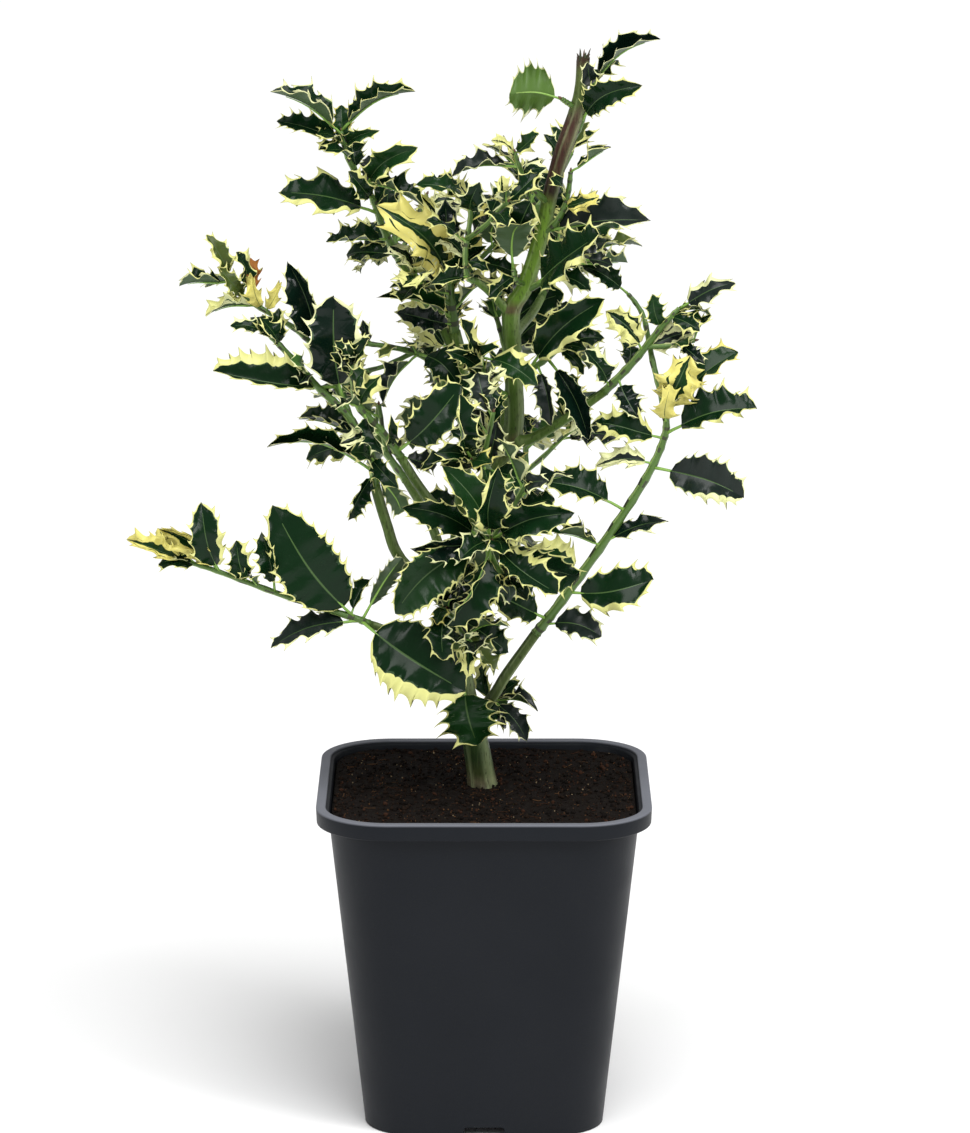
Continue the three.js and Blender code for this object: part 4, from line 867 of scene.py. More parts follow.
class Pile:
    """Points and faces gathered for one joined mesh."""

    def __init__(self):
        self.points, self.faces, self.tints, self.maps = [], [], [], []
        self.count = 0

    def add(self, points, *skins, uvs=None):
        """Points and the skins on them: faces of three or of four corners, and their tints."""
        for faces, tints in skins:
            self.faces.append(faces + self.count)
            self.tints.append(np.broadcast_to(tints, len(faces)))
        self.points.append(points)
        if uvs is not None:
            self.maps.append(uvs)
        self.count += len(points)

    def add_tube(self, line, radii, sides, tint):
        """A closed tube of one tint."""
        points, skin, caps, _ = tube(line, radii, sides)
        self.add(points, (skin, tint), (caps, tint))

    def make(self, name, materials):
        """One object from all that was gathered; its faces have three or four corners."""
        mesh = bpy.data.meshes.new(name)
        points = np.concatenate(self.points) * MM
        corners = np.concatenate([f.ravel() for f in self.faces])
        sizes = np.concatenate([np.full(len(f), f.shape[1]) for f in self.faces])
        mesh.vertices.add(len(points))
        mesh.vertices.foreach_set("co", points.ravel())
        mesh.loops.add(len(corners))
        mesh.loops.foreach_set("vertex_index", corners)
        mesh.polygons.add(len(sizes))
        mesh.polygons.foreach_set("loop_start", np.concatenate([[0], np.cumsum(sizes)[:-1]]))
        mesh.polygons.foreach_set("material_index", np.concatenate(self.tints))
        mesh.polygons.foreach_set("use_smooth", np.ones(len(sizes), bool))
        if self.maps:
            layer = mesh.uv_layers.new(name="blade")
            layer.data.foreach_set("uv", np.concatenate(self.maps)[corners].ravel())
        mesh.update(calc_edges=True)
        mesh.validate()
        for material in materials:
            mesh.materials.append(material)
        made = bpy.data.objects.new(name, mesh)
        bpy.context.collection.objects.link(made)
        return made


# Where a tube's first side faces, and how far its end stands out (a share of its radius).
TUBE_START = (0.13, -1, 0.07)
TUBE_END = 0.5


def tube(points, radii, sides, ridge=0.0):
    """Round tapering tube closed at both ends: its points, its faces and each face's side."""
    n = len(points)
    ways = np.gradient(points, axis=0)
    ways /= np.linalg.norm(ways, axis=1)[:, None]
    across = np.cross(TUBE_START, ways[0])
    rings = []
    for p, way, r in zip(points, ways, radii):
        across = unit(across - way * np.dot(across, way))
        up = np.cross(way, across)
        a = 2 * np.pi * np.arange(sides) / sides
        r = r * (1 + ridge * np.where(np.arange(sides) % 2, -1, 1))
        rings.append(p + (np.cos(a) * r)[:, None] * across + (np.sin(a) * r)[:, None] * up)
    i, k = np.meshgrid(np.arange(n - 1), np.arange(sides), indexing="ij")
    a, b = i * sides + k, i * sides + (k + 1) % sides
    skin = np.stack([a, b, b + sides, a + sides], axis=2).reshape(-1, 4)
    foot, top = n * sides, n * sides + 1
    k = np.arange(sides)
    last = (n - 1) * sides
    caps = np.concatenate([np.stack([(k + 1) % sides, k, np.full(sides, foot)], axis=1),
                           np.stack([last + k, last + (k + 1) % sides, np.full(sides, top)], axis=1)])
    ends = [points[0], points[-1] + ways[-1] * radii[-1] * TUBE_END]
    return np.concatenate(rings + [np.array(ends)]), skin, caps, np.tile(np.arange(sides), n - 1)


# ------ materials

class Skin:
    """A material as it is built up: its shader, and short ways to add and join nodes."""

    def __init__(self, name, colour, roughness, gloss=0.5):
        self.material = bpy.data.materials.new(name)
        self.material.use_nodes = True
        self.tree = self.material.node_tree
        self.shader = self.tree.nodes["Principled BSDF"]
        self.put(colour, self.shader.inputs["Base Color"])
        self.put(roughness, self.shader.inputs["Roughness"])
        self.put(gloss, self.shader.inputs["Specular IOR Level"])
        self.coords = self.tree.nodes.new("ShaderNodeTexCoord")

    def add(self, kind, **values):
        node = self.tree.nodes.new("ShaderNode" + kind)
        for key, value in values.items():
            if key in node.inputs:
                node.inputs[key].default_value = value
            else:
                setattr(node, key, value)
        return node

    def put(self, value, socket):
        """Another node's value, a colour or a number into a socket."""
        if hasattr(value, "is_linked"):
            self.tree.links.new(value, socket)
        elif isinstance(value, tuple):
            socket.default_value = (*value, 1)
        else:
            socket.default_value = value

    def reckon(self, operation, *values):
        """One sum of numbers and other nodes' values."""
        step = self.add("Math", operation=operation)
        for value, socket in zip(values, step.inputs):
            self.put(value, socket)
        return step.outputs[0]

    def place(self, axis, source="Object"):
        """One coordinate of the object's own space or of its map."""
        parts = self.add("SeparateXYZ")
        self.put(self.coords.outputs[source], parts.inputs[0])
        return parts.outputs[axis]

    def noise(self, scale, detail, stretch=(1, 1, 1)):
        place = self.add("Mapping")
        place.inputs["Scale"].default_value = stretch
        self.put(self.coords.outputs["Object"], place.inputs["Vector"])
        noise = self.add("TexNoise", Scale=scale, Detail=detail)
        self.put(place.outputs["Vector"], noise.inputs["Vector"])
        return noise.outputs["Fac"]

    def spread(self, value, low, high, start=0.3, end=0.7):
        """A value between start and end, spread to low and high."""
        spread = self.add("MapRange")
        for key, amount in (("From Min", start), ("From Max", end), ("To Min", low), ("To Max", high),
                            ("Value", value)):
            self.put(amount, spread.inputs[key])
        return spread.outputs["Result"]

    def patches(self, spots):
        """Where a noise is strong."""
        return self.spread(self.noise(*spots["noise"]), 0, spots["most"], spots["start"], spots["full"])

    def ramp(self, value, stops):
        """Colours along a value."""
        ramp = self.add("ValToRGB")
        elements = ramp.color_ramp.elements
        while len(elements) < len(stops):
            elements.new(0.5)
        for element, (at, colour) in zip(elements, stops):
            element.position = at
            element.color = (*colour, 1)
        self.put(value, ramp.inputs["Fac"])
        return ramp.outputs["Color"]

    def mix(self, factor, a, b, blend="MIX"):
        mix = self.add("Mix", data_type="RGBA", blend_type=blend)
        for value, place in ((factor, 0), (a, 6), (b, 7)):
            self.put(value, mix.inputs[place])
        return mix.outputs[2]

    def paint(self, colour):
        self.put(colour, self.shader.inputs["Base Color"])

    def bump(self, height, distance, strength=1.0):
        bump = self.add("Bump", Strength=strength, Distance=distance)
        self.put(height, bump.inputs["Height"])
        self.put(bump.outputs["Normal"], self.shader.inputs["Normal"])

    def finish(self, sheen, low, high, grain=None, bump=0, strength=1.0):
        """Roughness between low and high by one noise, and a grain in the bump by another."""
        if grain:
            self.bump(self.noise(*grain), bump, strength)
        self.put(self.spread(self.noise(*sheen), low, high), self.shader.inputs["Roughness"])
        return self.material


# The side veins of a leaf: how far they lean ahead, how many radians of them there are from root
# to tip, how deep they are and from which part of each wave. Then the dimples between, the bump
# of both in metres, and how uneven the sheen is.
VEINS = dict(ahead=-0.24, turns=52, depth=0.2, start=0.55, end=1.0)
DIMPLES = dict(noise=(90, 1), depth=2.2, bump=0.00012)
SHEEN = dict(noise=(120, 2), uneven=0.06)


def leaf_material(name, colour, roughness, gloss):
    """Leaf skin of one plain colour: side veins and fine dimples in its bump."""
    skin = Skin(name, colour, roughness, gloss)
    # side veins run forward from the midrib: the map's across is taken off its along
    away = skin.reckon("ABSOLUTE", skin.place("Y", "UV"))
    lean = skin.reckon("MULTIPLY_ADD", away, VEINS["ahead"], skin.place("X", "UV"))
    wave = skin.reckon("SINE", skin.reckon("MULTIPLY", lean, VEINS["turns"]))
    vein = skin.spread(wave, 0, VEINS["depth"], VEINS["start"], VEINS["end"])
    dimples = skin.noise(*DIMPLES["noise"])
    skin.bump(skin.reckon("MULTIPLY_ADD", dimples, DIMPLES["depth"], vein), DIMPLES["bump"])
    return skin.finish(SHEEN["noise"], roughness - SHEEN["uneven"], roughness + SHEEN["uneven"])


# Linear colours of the leaves, their roughness and how strongly they mirror: the tops, the edges,
# the ribs and the undersides.
LEAF_TINTS = dict(
    deep=((0.0034, 0.0175, 0.005), 0.22, 0.15), ink=((0.002, 0.009, 0.005), 0.17, 0.22),
    green=((0.007, 0.031, 0.007), 0.26, 0.16), fresh=((0.035, 0.1, 0.018), 0.36, 0.3),
    slate=((0.0065, 0.0135, 0.01), 0.32, 0.25), olive=((0.05, 0.075, 0.012), 0.35, 0.25),
    blend=((0.05, 0.11, 0.025), 0.38, 0.3), blend_grey=((0.022, 0.055, 0.02), 0.36, 0.3),
    cream=((0.66, 0.66, 0.24), 0.4, 0.35), cream_pale=((0.72, 0.74, 0.38), 0.4, 0.35),
    cream_warm=((0.66, 0.6, 0.16), 0.4, 0.35), dried=((0.3, 0.11, 0.018), 0.5, 0.3),
    dried_dark=((0.09, 0.03, 0.012), 0.5, 0.3), vein=((0.05, 0.1, 0.026), 0.36, 0.3),
    under=((0.05, 0.09, 0.036), 0.5, 0.35), under_bright=((0.07, 0.14, 0.022), 0.42, 0.35),
    under_cream=((0.62, 0.64, 0.34), 0.5, 0.35), under_vein=((0.3, 0.42, 0.12), 0.5, 0.35),
)
TINT = {name: number for number, name in enumerate(LEAF_TINTS)}
# The tints of a leaf's dark zone, the patches between, its cream and its underside.
PALETTES = dict(
    deep=("deep", "blend_grey", "cream", "under"), ink=("ink", "blend_grey", "cream_pale", "under"),
    green=("green", "blend", "cream", "under"), pale=("deep", "blend", "cream_pale", "under"),
    warm=("green", "blend", "cream_warm", "under"), fresh=("fresh", "blend", "cream_pale", "under"),
    slate=("slate", "blend_grey", "cream_pale", "under"), olive=("olive", "blend", "cream", "under"),
    yellow=("cream_warm", "cream_warm", "cream_warm", "under_cream"),
    dried=("dried", "dried_dark", "dried", "dried_dark"),
    bright=("green", "blend", "cream", "under_bright"),
)
# How many leaves of a hundred have a palette, where nothing else is said.
PALETTE_SHARES = dict(deep=48, ink=11, green=12, pale=10, slate=5, warm=8, olive=3, fresh=3)
# The same for the leaves that the rows place, and the cream styles of the creamy middle shoots.
ROW_PALETTES = dict(deep=58, ink=12, green=15, pale=9, slate=6)
CREAMY_STYLES = dict(thin=40, left=12, right=12, both=10, flame=26)
CREAMY_SHOOTS = {"leaves_centre", "leaves_short", "leaves_cross", "leaves_leader_low_left",
                 "leaves_leader_left", "leaves_leader_right", "leaves_high_left",
                 "leaves_back_high_left"}


def palette_tints(name):
    """Material number for each zone of a leaf."""
    dark, blend, cream, under = PALETTES[name]
    names = [dark, blend, cream, "vein", under, "under_cream", "under_vein"]
    return np.array([TINT[name] for name in names])


def drawn(shares, random):
    """A name drawn by its share."""
    names = list(shares)
    weights = np.array([shares[name] for name in names], float)
    return names[random.choice(len(names), p=weights / weights.sum())]


def look_of(palette, style="thin", **own):
    """A leaf's look: its palette and cream style, and what else it has of its own.

    That can be its kind (a number in LEAF_KINDS), its fold and roll in degrees, its curl, its least
    half width as a share of its length, and how far out on its stalk the blade begins.
    """
    return dict(palette=palette, style=style, **own)


# The leaves with a look of their own, by shoot and row.
LOOKS = {
    "leaves_upper_left": {2: look_of("deep", "left", kind=1, fold=12, roll=0, broad=0.27)},
    "leaves_left_inner": {0: look_of("deep")},
    "leaves_rosette": {0: look_of("green", stalk=0.2), 1: look_of("deep", stalk=0.18),
        3: look_of("deep", "left", stalk=0.2), 5: look_of("deep", stalk=0.2),
        7: look_of("green", stalk=0.2), 8: look_of("deep", stalk=0.22),
        10: look_of("deep", "left", stalk=0.2)},
    "leaves_lower_left": {0: look_of("deep", "right", fold=8, roll=6, curl=-0.3), 1: look_of("deep"),
        2: look_of("slate", fold=12, roll=0, broad=0.19), 3: look_of("deep"), 9: look_of("warm", "flame"),
        10: look_of("warm", "flame")},
    "leaves_left": {8: look_of("deep", "right", fold=44, roll=24, stalk=0.2, curl=-0.1),
        9: look_of("ink", "right", fold=12), 10: look_of("ink"), 12: look_of("olive"),
        13: look_of("yellow", "flame"), 14: look_of("dried", "both", curl=-1.6, fold=40),
        15: look_of("yellow", "flame"), 17: look_of("olive", "both")},
    "leaves_centre": {0: look_of("ink", "left"), 1: look_of("warm", "flame", kind=2, fold=14, roll=0),
        5: look_of("ink")},
    "leaves_leader_left": {0: look_of("deep", fold=14, roll=0)},
    "leaves_top_left": {0: look_of("bright", kind=1, fold=24, curl=0.4)},
    "leaves_leader_low_right": {0: look_of("deep", "right")},
    "leaves_high_right": {0: look_of("slate"), 1: look_of("warm", "flame")},
    "leaves_leader_right": {0: look_of("deep", "right", fold=12, roll=0), 2: look_of("slate", stalk=0.4),
        3: look_of("deep", stalk=0.4)},
    "leaves_lower_right": {0: look_of("slate"), 1: look_of("deep", "right"), 2: look_of("deep"),
        3: look_of("ink", fold=12, roll=0, broad=0.18), 4: look_of("deep", stalk=0.25),
        5: look_of("slate", "right"), 7: look_of("deep", "right"), 9: look_of("warm", "flame"),
        10: look_of("warm", "left"), 11: look_of("yellow", "flame")},
    "leaves_foot_left": {0: look_of("green", kind=3, fold=18)},
    "leaves_foot_right": {0: look_of("slate"), 1: look_of("slate")},
    "leaves_right": {0: look_of("slate", "left")},
}


# Young bark: its sheen, how far that goes down and up, and the pores in its bump.
YOUNG_BARK = dict(sheen=(500, 2), glossier=0.08, duller=0.12, pores=(1400, 3), bump=0.0002)
STEM_TINTS = dict(
    stem=((0.07, 0.145, 0.022), 0.4), stem_pale=((0.25, 0.36, 0.11), 0.42),
    stem_dark=((0.035, 0.045, 0.016), 0.5), petiole=((0.21, 0.38, 0.065), 0.4),
    bud=((0.12, 0.06, 0.03), 0.6), old=((0.07, 0.055, 0.035), 0.65),
)
STEM = {name: number for number, name in enumerate(STEM_TINTS)}


def stem_material(name, colour, roughness):
    """Smooth young bark of one plain colour, with fine pores."""
    low, high = roughness - YOUNG_BARK["glossier"], roughness + YOUNG_BARK["duller"]
    skin = Skin(name, colour, roughness)
    return skin.finish(YOUNG_BARK["sheen"], low, high, YOUNG_BARK["pores"], YOUNG_BARK["bump"])


# ------ leaves and twigs

# The sides of the plant whose leaves are joined in one piece each, by what a shoot's name says.
SIDE_WORDS = dict(back_inner="inside", back="back", left="left", right="right")


def side_of(name):
    """The side of the plant whose leaves a shoot's are joined with."""
    return next((side for word, side in SIDE_WORDS.items() if word in name), "middle")


# Each leaf draws by its own number, counted from here.
LEAF_SEED = 1000
# How much longer than the neck of the solids the stalk of a larger leaf is, a share of its length.
STALK = dict(above=30, extra=(0.01, 0.09))
# The petiole: its radii in mm at its foot, at the blade and at its end (a share of the leaf's
# length), how it lies under the blade, and its size on a longer leaf: a base, the length in mm
# that adds 1, and a limit.
PETIOLE = dict(sides=5, steps=9, foot=1.0, neck=0.8, tip=0.22, end=0.82, sink=0.3, under_from=0.9,
               size=(0.55, 90, 1.25))


def blade_and_rib(leaf, forms, random, blades, ribs):
    """A leaf's blade, and its petiole running on as the midrib underneath."""
    look = LOOKS.get(leaf.shoot, {}).get(leaf.row, {})
    by_length = next(k for k, spec in enumerate(LEAF_KINDS) if leaf.length >= spec["above"])
    kind = look.get("kind", by_length)
    placed = leaf.row is not None
    palette = look.get("palette") or drawn(ROW_PALETTES if placed else PALETTE_SHARES, random)
    styles = CREAMY_STYLES if leaf.shoot in CREAMY_SHOOTS else CREAM_STYLES
    style = look.get("style") or drawn(styles, random)
    form = forms[kind][style][random.integers(len(forms[kind][style]))]
    shape = draw_shape(leaf, look, random)
    top = form.points * [leaf.length, shape["half"], shape["half"]]
    stalk = within(STALK["extra"], random.uniform()) if leaf.length > STALK["above"] else 0
    start = look.get("stalk", LEAF["neck"] + stalk)
    top[:, 0] = leaf.length * np.interp(form.points[:, 0], [LEAF["neck"], 1], [start, 1])
    below = top - [0, 0, form.thick]
    points = bend_leaf(leaf, np.concatenate([top, below]), shape)
    uvs = np.tile(form.points[:, :2], (2, 1))
    blades.add(points, (form.faces, palette_tints(palette)[form.zones]), uvs=uvs)

    base, more, limit = PETIOLE["size"]
    size = min(limit, base + leaf.length / more)
    share = np.linspace(0, PETIOLE["end"], PETIOLE["steps"])
    girth = np.interp(share, [0, start, PETIOLE["end"]],
                      [PETIOLE["foot"], PETIOLE["neck"], PETIOLE["tip"]]) * size
    under = share > start * PETIOLE["under_from"]
    sink = np.where(under, form.thick + PETIOLE["sink"] * size, 0)
    straight = np.stack([share * leaf.length, np.zeros(len(share)), -sink], axis=1)
    ribs.add_tube(bend_leaf(leaf, straight, shape), girth, PETIOLE["sides"], STEM["petiole"])


# A stem: its sides stand in and out as ridges, and one in a few is pale. Its knots are thicker,
# and a share of their faces is dark.
TWIG_BARK = dict(sides=8, ridge=0.05, pale_every=4, steps=4, knot_every=3, knot=1.16, dark=0.4)
# A bud, and how thick it is at places along it on a stem of the usual girth.
BUD = dict(length=3.2, sides=6, places=(0, 0.3, 0.6, 0.85, 1), girths=(0.9, 1.15, 0.95, 0.5, 0.12),
           usual=1.7)


def add_stem(line, pile, random):
    """A stem as a ridged tube with pale ridges, swollen and dark where leaves leave it."""
    sides = TWIG_BARK["sides"]
    points = smooth_line(line.points, TWIG_BARK["steps"])
    radii = np.interp(np.linspace(0, 1, len(points)), np.linspace(0, 1, len(line.radii)), line.radii)
    knots = np.arange(0, len(points), TWIG_BARK["knot_every"])
    radii[knots] *= TWIG_BARK["knot"]
    points, skin, caps, side = tube(points, radii, sides, TWIG_BARK["ridge"])
    ring = np.arange(len(skin)) // sides
    tints = np.where(side % TWIG_BARK["pale_every"] == 0, STEM["stem_pale"], STEM["stem"])
    dark = np.isin(ring, knots - 1) & (random.uniform(size=len(ring)) < TWIG_BARK["dark"])
    tints = np.where(dark, STEM["stem_dark"], tints)
    pile.add(points, (skin, tints), (caps, STEM["stem"]))


def add_bud(line, pile):
    """The scaly bud that a shoot ends in."""
    way = unit(line.points[-1] - line.points[-2])
    girth = np.array(BUD["girths"]) * line.radii[-1] / BUD["usual"]
    points = line.points[-1] + np.outer(np.array(BUD["places"]) * BUD["length"], way)
    pile.add_tube(points, girth, BUD["sides"], STEM["bud"])


def make_foliage(plant):
    """Blades, ribs and stems of all the shoots, each kind joined by the side it is on."""
    forms = make_forms()
    leaf_skins = [leaf_material("leaf_" + name, *tint) for name, tint in LEAF_TINTS.items()]
    stem_skins = [stem_material(name, *tint) for name, tint in STEM_TINTS.items()]
    sides = sorted({side_of(spec["name"]) for spec in SHOOTS})
    blades = {side: Pile() for side in sides}
    ribs, stems = Pile(), Pile()
    for number, leaf in enumerate(plant.leaves):
        random = np.random.default_rng(LEAF_SEED + number)
        blade_and_rib(leaf, forms, random, blades[side_of(leaf.shoot)], ribs)
    for spec in SHOOTS:
        random = np.random.default_rng(spec["seed"])
        for line in plant.lines_of(spec["name"]):
            add_stem(line, stems, random)
            add_bud(line, stems)
    add_splinters(plant, stems)
    made = []
    for side in sides:
        piece = blades[side].make("holly_leaves_" + side, leaf_skins)
        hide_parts(*[s["name"] for s in SHOOTS if side_of(s["name"]) == side])
        made.append(piece)
    made.append(ribs.make("holly_leaf_stalks", stem_skins))
    made.append(stems.make("holly_twigs", stem_skins))
    for piece in made:
        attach(piece, "root")


# ------ trunk and boughs

# Sides and steps of the limbs, how deep their relief is and how far up the corky collar reaches.
BARK = dict(trunk_sides=48, trunk_steps=9, trunk_depth=0.32, collar_top=236, bough_sides=24,
            bough_steps=6, bough_depth=0.22)


def swept(name, points, radii, sides):
    """A limb swept as a thick curve of changing radius, then made a mesh."""
    deselect()
    bpy.ops.curve.primitive_nurbs_path_add(radius=1, location=(0, 0, 0))
    limb = bpy.context.object
    limb.name = name
    curve = limb.data
    curve.splines.clear()
    spline = curve.splines.new("POLY")
    spline.points.add(len(points) - 1)
    for point, p, r in zip(spline.points, points, radii):
        point.co = (*(p * MM), 1)
        point.radius = r * MM
    curve.bevel_depth = 1
    curve.bevel_resolution = sides // 2 - 2
    curve.use_fill_caps = True
    curve.twist_mode = "MINIMUM"
    bpy.ops.object.convert(target="MESH")
    limb = bpy.context.object
    limb.data.name = name
    bpy.ops.object.shade_smooth()
    return limb


# How each octave of a noise goes on from the one before.
OCTAVE = dict(finer=2.03, weaker=0.5)


def noise_of(p, octaves):
    value, size = 0.0, 1.0
    for _ in range(octaves):
        value += size * noise.noise(p)
        p, size = p * OCTAVE["finer"], size * OCTAVE["weaker"]
    return value


# Pale ridges that run along a limb: the way each faces, in degrees, and its half width in radians.
RIDGES = [(-122, 0.12), (-58, 0.11), (24, 0.14), (105, 0.16), (172, 0.13)]
# How far a ridge stands out (a share of the relief's depth), how it sways along the limb, in
# radians and per mm, and how pale it is, coming and going along the limb.
RIDGE = dict(out=0.8, sway=0.15, sway_step=0.021, pale=0.7, patches=(0.6, 0.4), patch_step=0.07)
# A painted highlight: the side of the bark that is painted paler as if lit, the way it faces, its half
# width and how much paler it is painted.
PAINTED_LIT_SIDE = (-36, 0.45, 0.8)
# Noises of the bark: how fine they are round the limb and along it, where they start, their
# octaves and their strength. The collar's is added over a stretch of some mm, and swells it.
LUMPS, GRAIN = (2.6, 0.035, 0, 2, 0.9), (6, 0.12, 0, 2, 0.5)
COLLAR = dict(noise=(9, 0.2, 5, 3, 0.9), stretch=22, swell=0.35)
# How far a swelling reaches where a limb leaves, in mm, and how high it is there for a bough and
# for a shoot.
KNOB = dict(reach=5, bough=0.5, shoot=0.35)


def wrapped(angle):
    """Angles brought between -pi and pi."""
    return np.angle(np.exp(1j * angle))


def bark_noise(angle, run, kind):
    """A noise round and along a limb."""
    fine, fine_along, start, octaves, strength = kind
    place = Vector((cos(angle) * fine, sin(angle) * fine, run * fine_along + start))
    return strength * noise_of(place, octaves)


def relief(limb, points, sides, depth, knobs, collar_top=None):
    """Bark relief: long ridges, swellings where limbs leave and a corky collar at the soil; also how pale
    each point is painted, kept for the material: pale ridges and a painted highlight on the lit side.
    """
    verts = limb.data.vertices
    rings = len(points)
    co = np.empty(len(verts) * 3)
    verts.foreach_get("co", co)
    co = co.reshape(-1, 3) / MM
    ring = co[:rings * sides].reshape(rings, sides, 3)
    pale = np.zeros(len(verts))
    centre = ring.mean(axis=1)
    run = np.concatenate([[0], np.cumsum(np.linalg.norm(np.diff(centre, axis=0), axis=1))])
    for i in range(rings):
        out = ring[i] - centre[i]
        r = np.linalg.norm(out, axis=1)
        out = out / r[:, None]
        turn = np.arctan2(out[:, 1], out[:, 0])
        ridge_and_lit_side = pale[i * sides:(i + 1) * sides]
        sway = RIDGE["sway"] * sin(run[i] * RIDGE["sway_step"])
        for facing, wide in RIDGES:
            near = np.exp(-(wrapped(turn - radians(facing) - sway) / wide) ** 2)
            r += depth * RIDGE["out"] * near
            patch = sin(run[i] * RIDGE["patch_step"] + facing)
            ridge_and_lit_side += RIDGE["pale"] * near * within(RIDGE["patches"], patch)
        # painted highlight: the side the light falls on is painted paler, in the same values as the pale
        # ridges
        off = wrapped(turn - radians(PAINTED_LIT_SIDE[0]))
        ridge_and_lit_side += PAINTED_LIT_SIDE[2] * np.exp(-(off / PAINTED_LIT_SIDE[1]) ** 2)
        for k in range(sides):
            a = 2 * pi * k / sides
            push = depth * (bark_noise(a, run[i], LUMPS) + bark_noise(a, run[i], GRAIN))
            if collar_top is not None:
                worn = max(0.0, min(1.0, (collar_top - centre[i][2]) / COLLAR["stretch"]))
                push += worn * (bark_noise(a, run[i], COLLAR["noise"]) + COLLAR["swell"])
            for at, height in knobs:
                near = np.linalg.norm(ring[i][k] - at)
                push += height * exp(-(near / KNOB["reach"]) ** 2)
            ring[i][k] = centre[i] + out[k] * (r[k] + push)
    co[:rings * sides] = ring.reshape(-1, 3)
    verts.foreach_set("co", (co * MM).ravel())
    # the "ridge" attribute holds both the pale ridges and the painted highlight of the lit side
    limb.data.attributes.new("ridge", "FLOAT", "POINT").data.foreach_set("value", pale)
    limb.data.update()


def children_knobs(plant, name):
    """Where limbs and shoots leave a limb, and how much the bark swells there, in mm."""
    knobs = []
    for child, (parent, _, girth, _) in BOUGHS.items():
        if parent == name:
            line = plant.limbs[child].points
            knobs.append((line[0] + unit(line[1] - line[0]) * girth[0], KNOB["bough"]))
    for spec in SHOOTS:
        if spec["on"] == name and "at" in spec:
            line = plant.stems[spec["name"]].points
            knobs.append((line[0] + unit(line[1] - line[0]) * KNOB["reach"], KNOB["shoot"]))
    return knobs


# Bark: the colours of its streaks, of its pale ridges with the painted highlight on its lit side, and of
# its specks, and how far the ridges and the highlight go to theirs.
STREAK, PALE_RIDGE_AND_HIGHLIGHT, SPECK = (0.03, 0.035, 0.015), (0.4, 0.48, 0.24), (0.02, 0.022, 0.01)
PALE_SHARE = 0.45
# How far up or down a colour wanders, in metres, and where in their noises, of a scale, a detail
# and a stretch each, the streaks and the specks begin and are full.
WANDER = dict(noise=(60, 2), reach=0.003)
STREAKS = dict(noise=(420, 4, (1, 1, 0.09)), most=1, start=0.5, full=0.68)
SPECKS = dict(noise=(700, 3, (1, 1, 0.3)), most=0.7, start=0.56, full=0.7)
BARK_SKIN = dict(base=((0.1, 0.12, 0.04), 0.42, 0.14), sheen=(300, 3), rough=(0.32, 0.57),
                 grain=(900, 4, (1, 1, 0.25)), bump=0.0006)


def bark_material(name, stops, low, high):
    """Bark coloured by height between two heights, streaked, speckled, with paler ridges and a painted
    highlight on its lit side.
    """
    skin = Skin(name, *BARK_SKIN["base"])
    wander = skin.spread(skin.noise(*WANDER["noise"]), -WANDER["reach"], WANDER["reach"])
    height = skin.reckon("ADD", skin.place("Z"), wander)
    colour = skin.ramp(skin.spread(height, 0, 1, low * MM, high * MM), stops)
    colour = skin.mix(skin.patches(STREAKS), colour, STREAK, "ADD")
    # the "ridge" attribute: pale ridges and the painted highlight on the lit side
    ridge = skin.add("Attribute", attribute_name="ridge").outputs["Fac"]
    colour = skin.mix(ridge, colour, skin.mix(PALE_SHARE, colour, PALE_RIDGE_AND_HIGHLIGHT))
    skin.paint(skin.mix(skin.patches(SPECKS), colour, SPECK))
    return skin.finish(BARK_SKIN["sheen"], *BARK_SKIN["rough"], BARK_SKIN["grain"], BARK_SKIN["bump"])


# Linear colours of the trunk's bark by height, in mm: the corky foot, the olive stem with brown
# rings where it has branched, the bright young leader, its peeled stretch and its cut tip.
TRUNK_COLOURS = [
    (217, (0.05, 0.045, 0.026)), (221, (0.09, 0.08, 0.045)), (227, (0.035, 0.045, 0.014)),
    (238, (0.014, 0.032, 0.007)), (252, (0.02, 0.045, 0.008)), (340, (0.045, 0.085, 0.015)),
    (430, (0.045, 0.085, 0.014)), (446, (0.05, 0.055, 0.018)), (452, (0.07, 0.06, 0.026)),
    (457, (0.04, 0.075, 0.012)), (500, (0.06, 0.115, 0.016)), (537, (0.075, 0.145, 0.018)),
    (539, (0.075, 0.06, 0.024)), (542, (0.085, 0.07, 0.028)), (544, (0.1, 0.19, 0.02)),
    (560, (0.11, 0.21, 0.018)), (606, (0.12, 0.22, 0.022)), (612, (0.08, 0.09, 0.02)),
    (616, (0.02, 0.011, 0.006)), (621, (0.024, 0.01, 0.007)), (627, (0.042, 0.015, 0.01)),
    (643, (0.042, 0.015, 0.01)), (648, (0.06, 0.026, 0.018)), (664, (0.055, 0.024, 0.017)),
    (669, (0.08, 0.06, 0.035)), (673, (0.07, 0.11, 0.025)), (694, (0.09, 0.12, 0.03)),
    (700, (0.05, 0.03, 0.018)),
]


def make_trunk(plant):
    points = smooth_line(TRUNK, BARK["trunk_steps"])
    trunk = swept("holly_trunk", points[:, :3], points[:, 3], BARK["trunk_sides"])
    relief(trunk, points, BARK["trunk_sides"], BARK["trunk_depth"], children_knobs(plant, "trunk"),
           BARK["collar_top"])
    low, high = TRUNK[0][2], TRUNK[-1][2]
    stops = [((height - low) / (high - low), colour) for height, colour in TRUNK_COLOURS]
    trunk.data.materials.append(bark_material("trunk_bark", stops, low, high))
    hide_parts("trunk")
    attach(trunk, "root")


# Splinters round the trunk's cut tip, in mm: how far one strays from its place in degrees, how it
# leans in or out, and where its foot stands (a share of the trunk's radius).
SPLINTERS = dict(
    seed=5, count=13, stray=14, length=(3, 7), mostly_short=1.5, girth=(0.5, 0.5),
    lean=(-0.1, 0.35), foot=(0.55, 0.85), sink=2, sides=5, places=(0, 0.5, 0.8, 1),
    bend=(0, 0, 0.3, 0.8), taper=(1.4, 1.1, 0.7, 0.15), tints=("old", "bud", "stem_dark"),
)


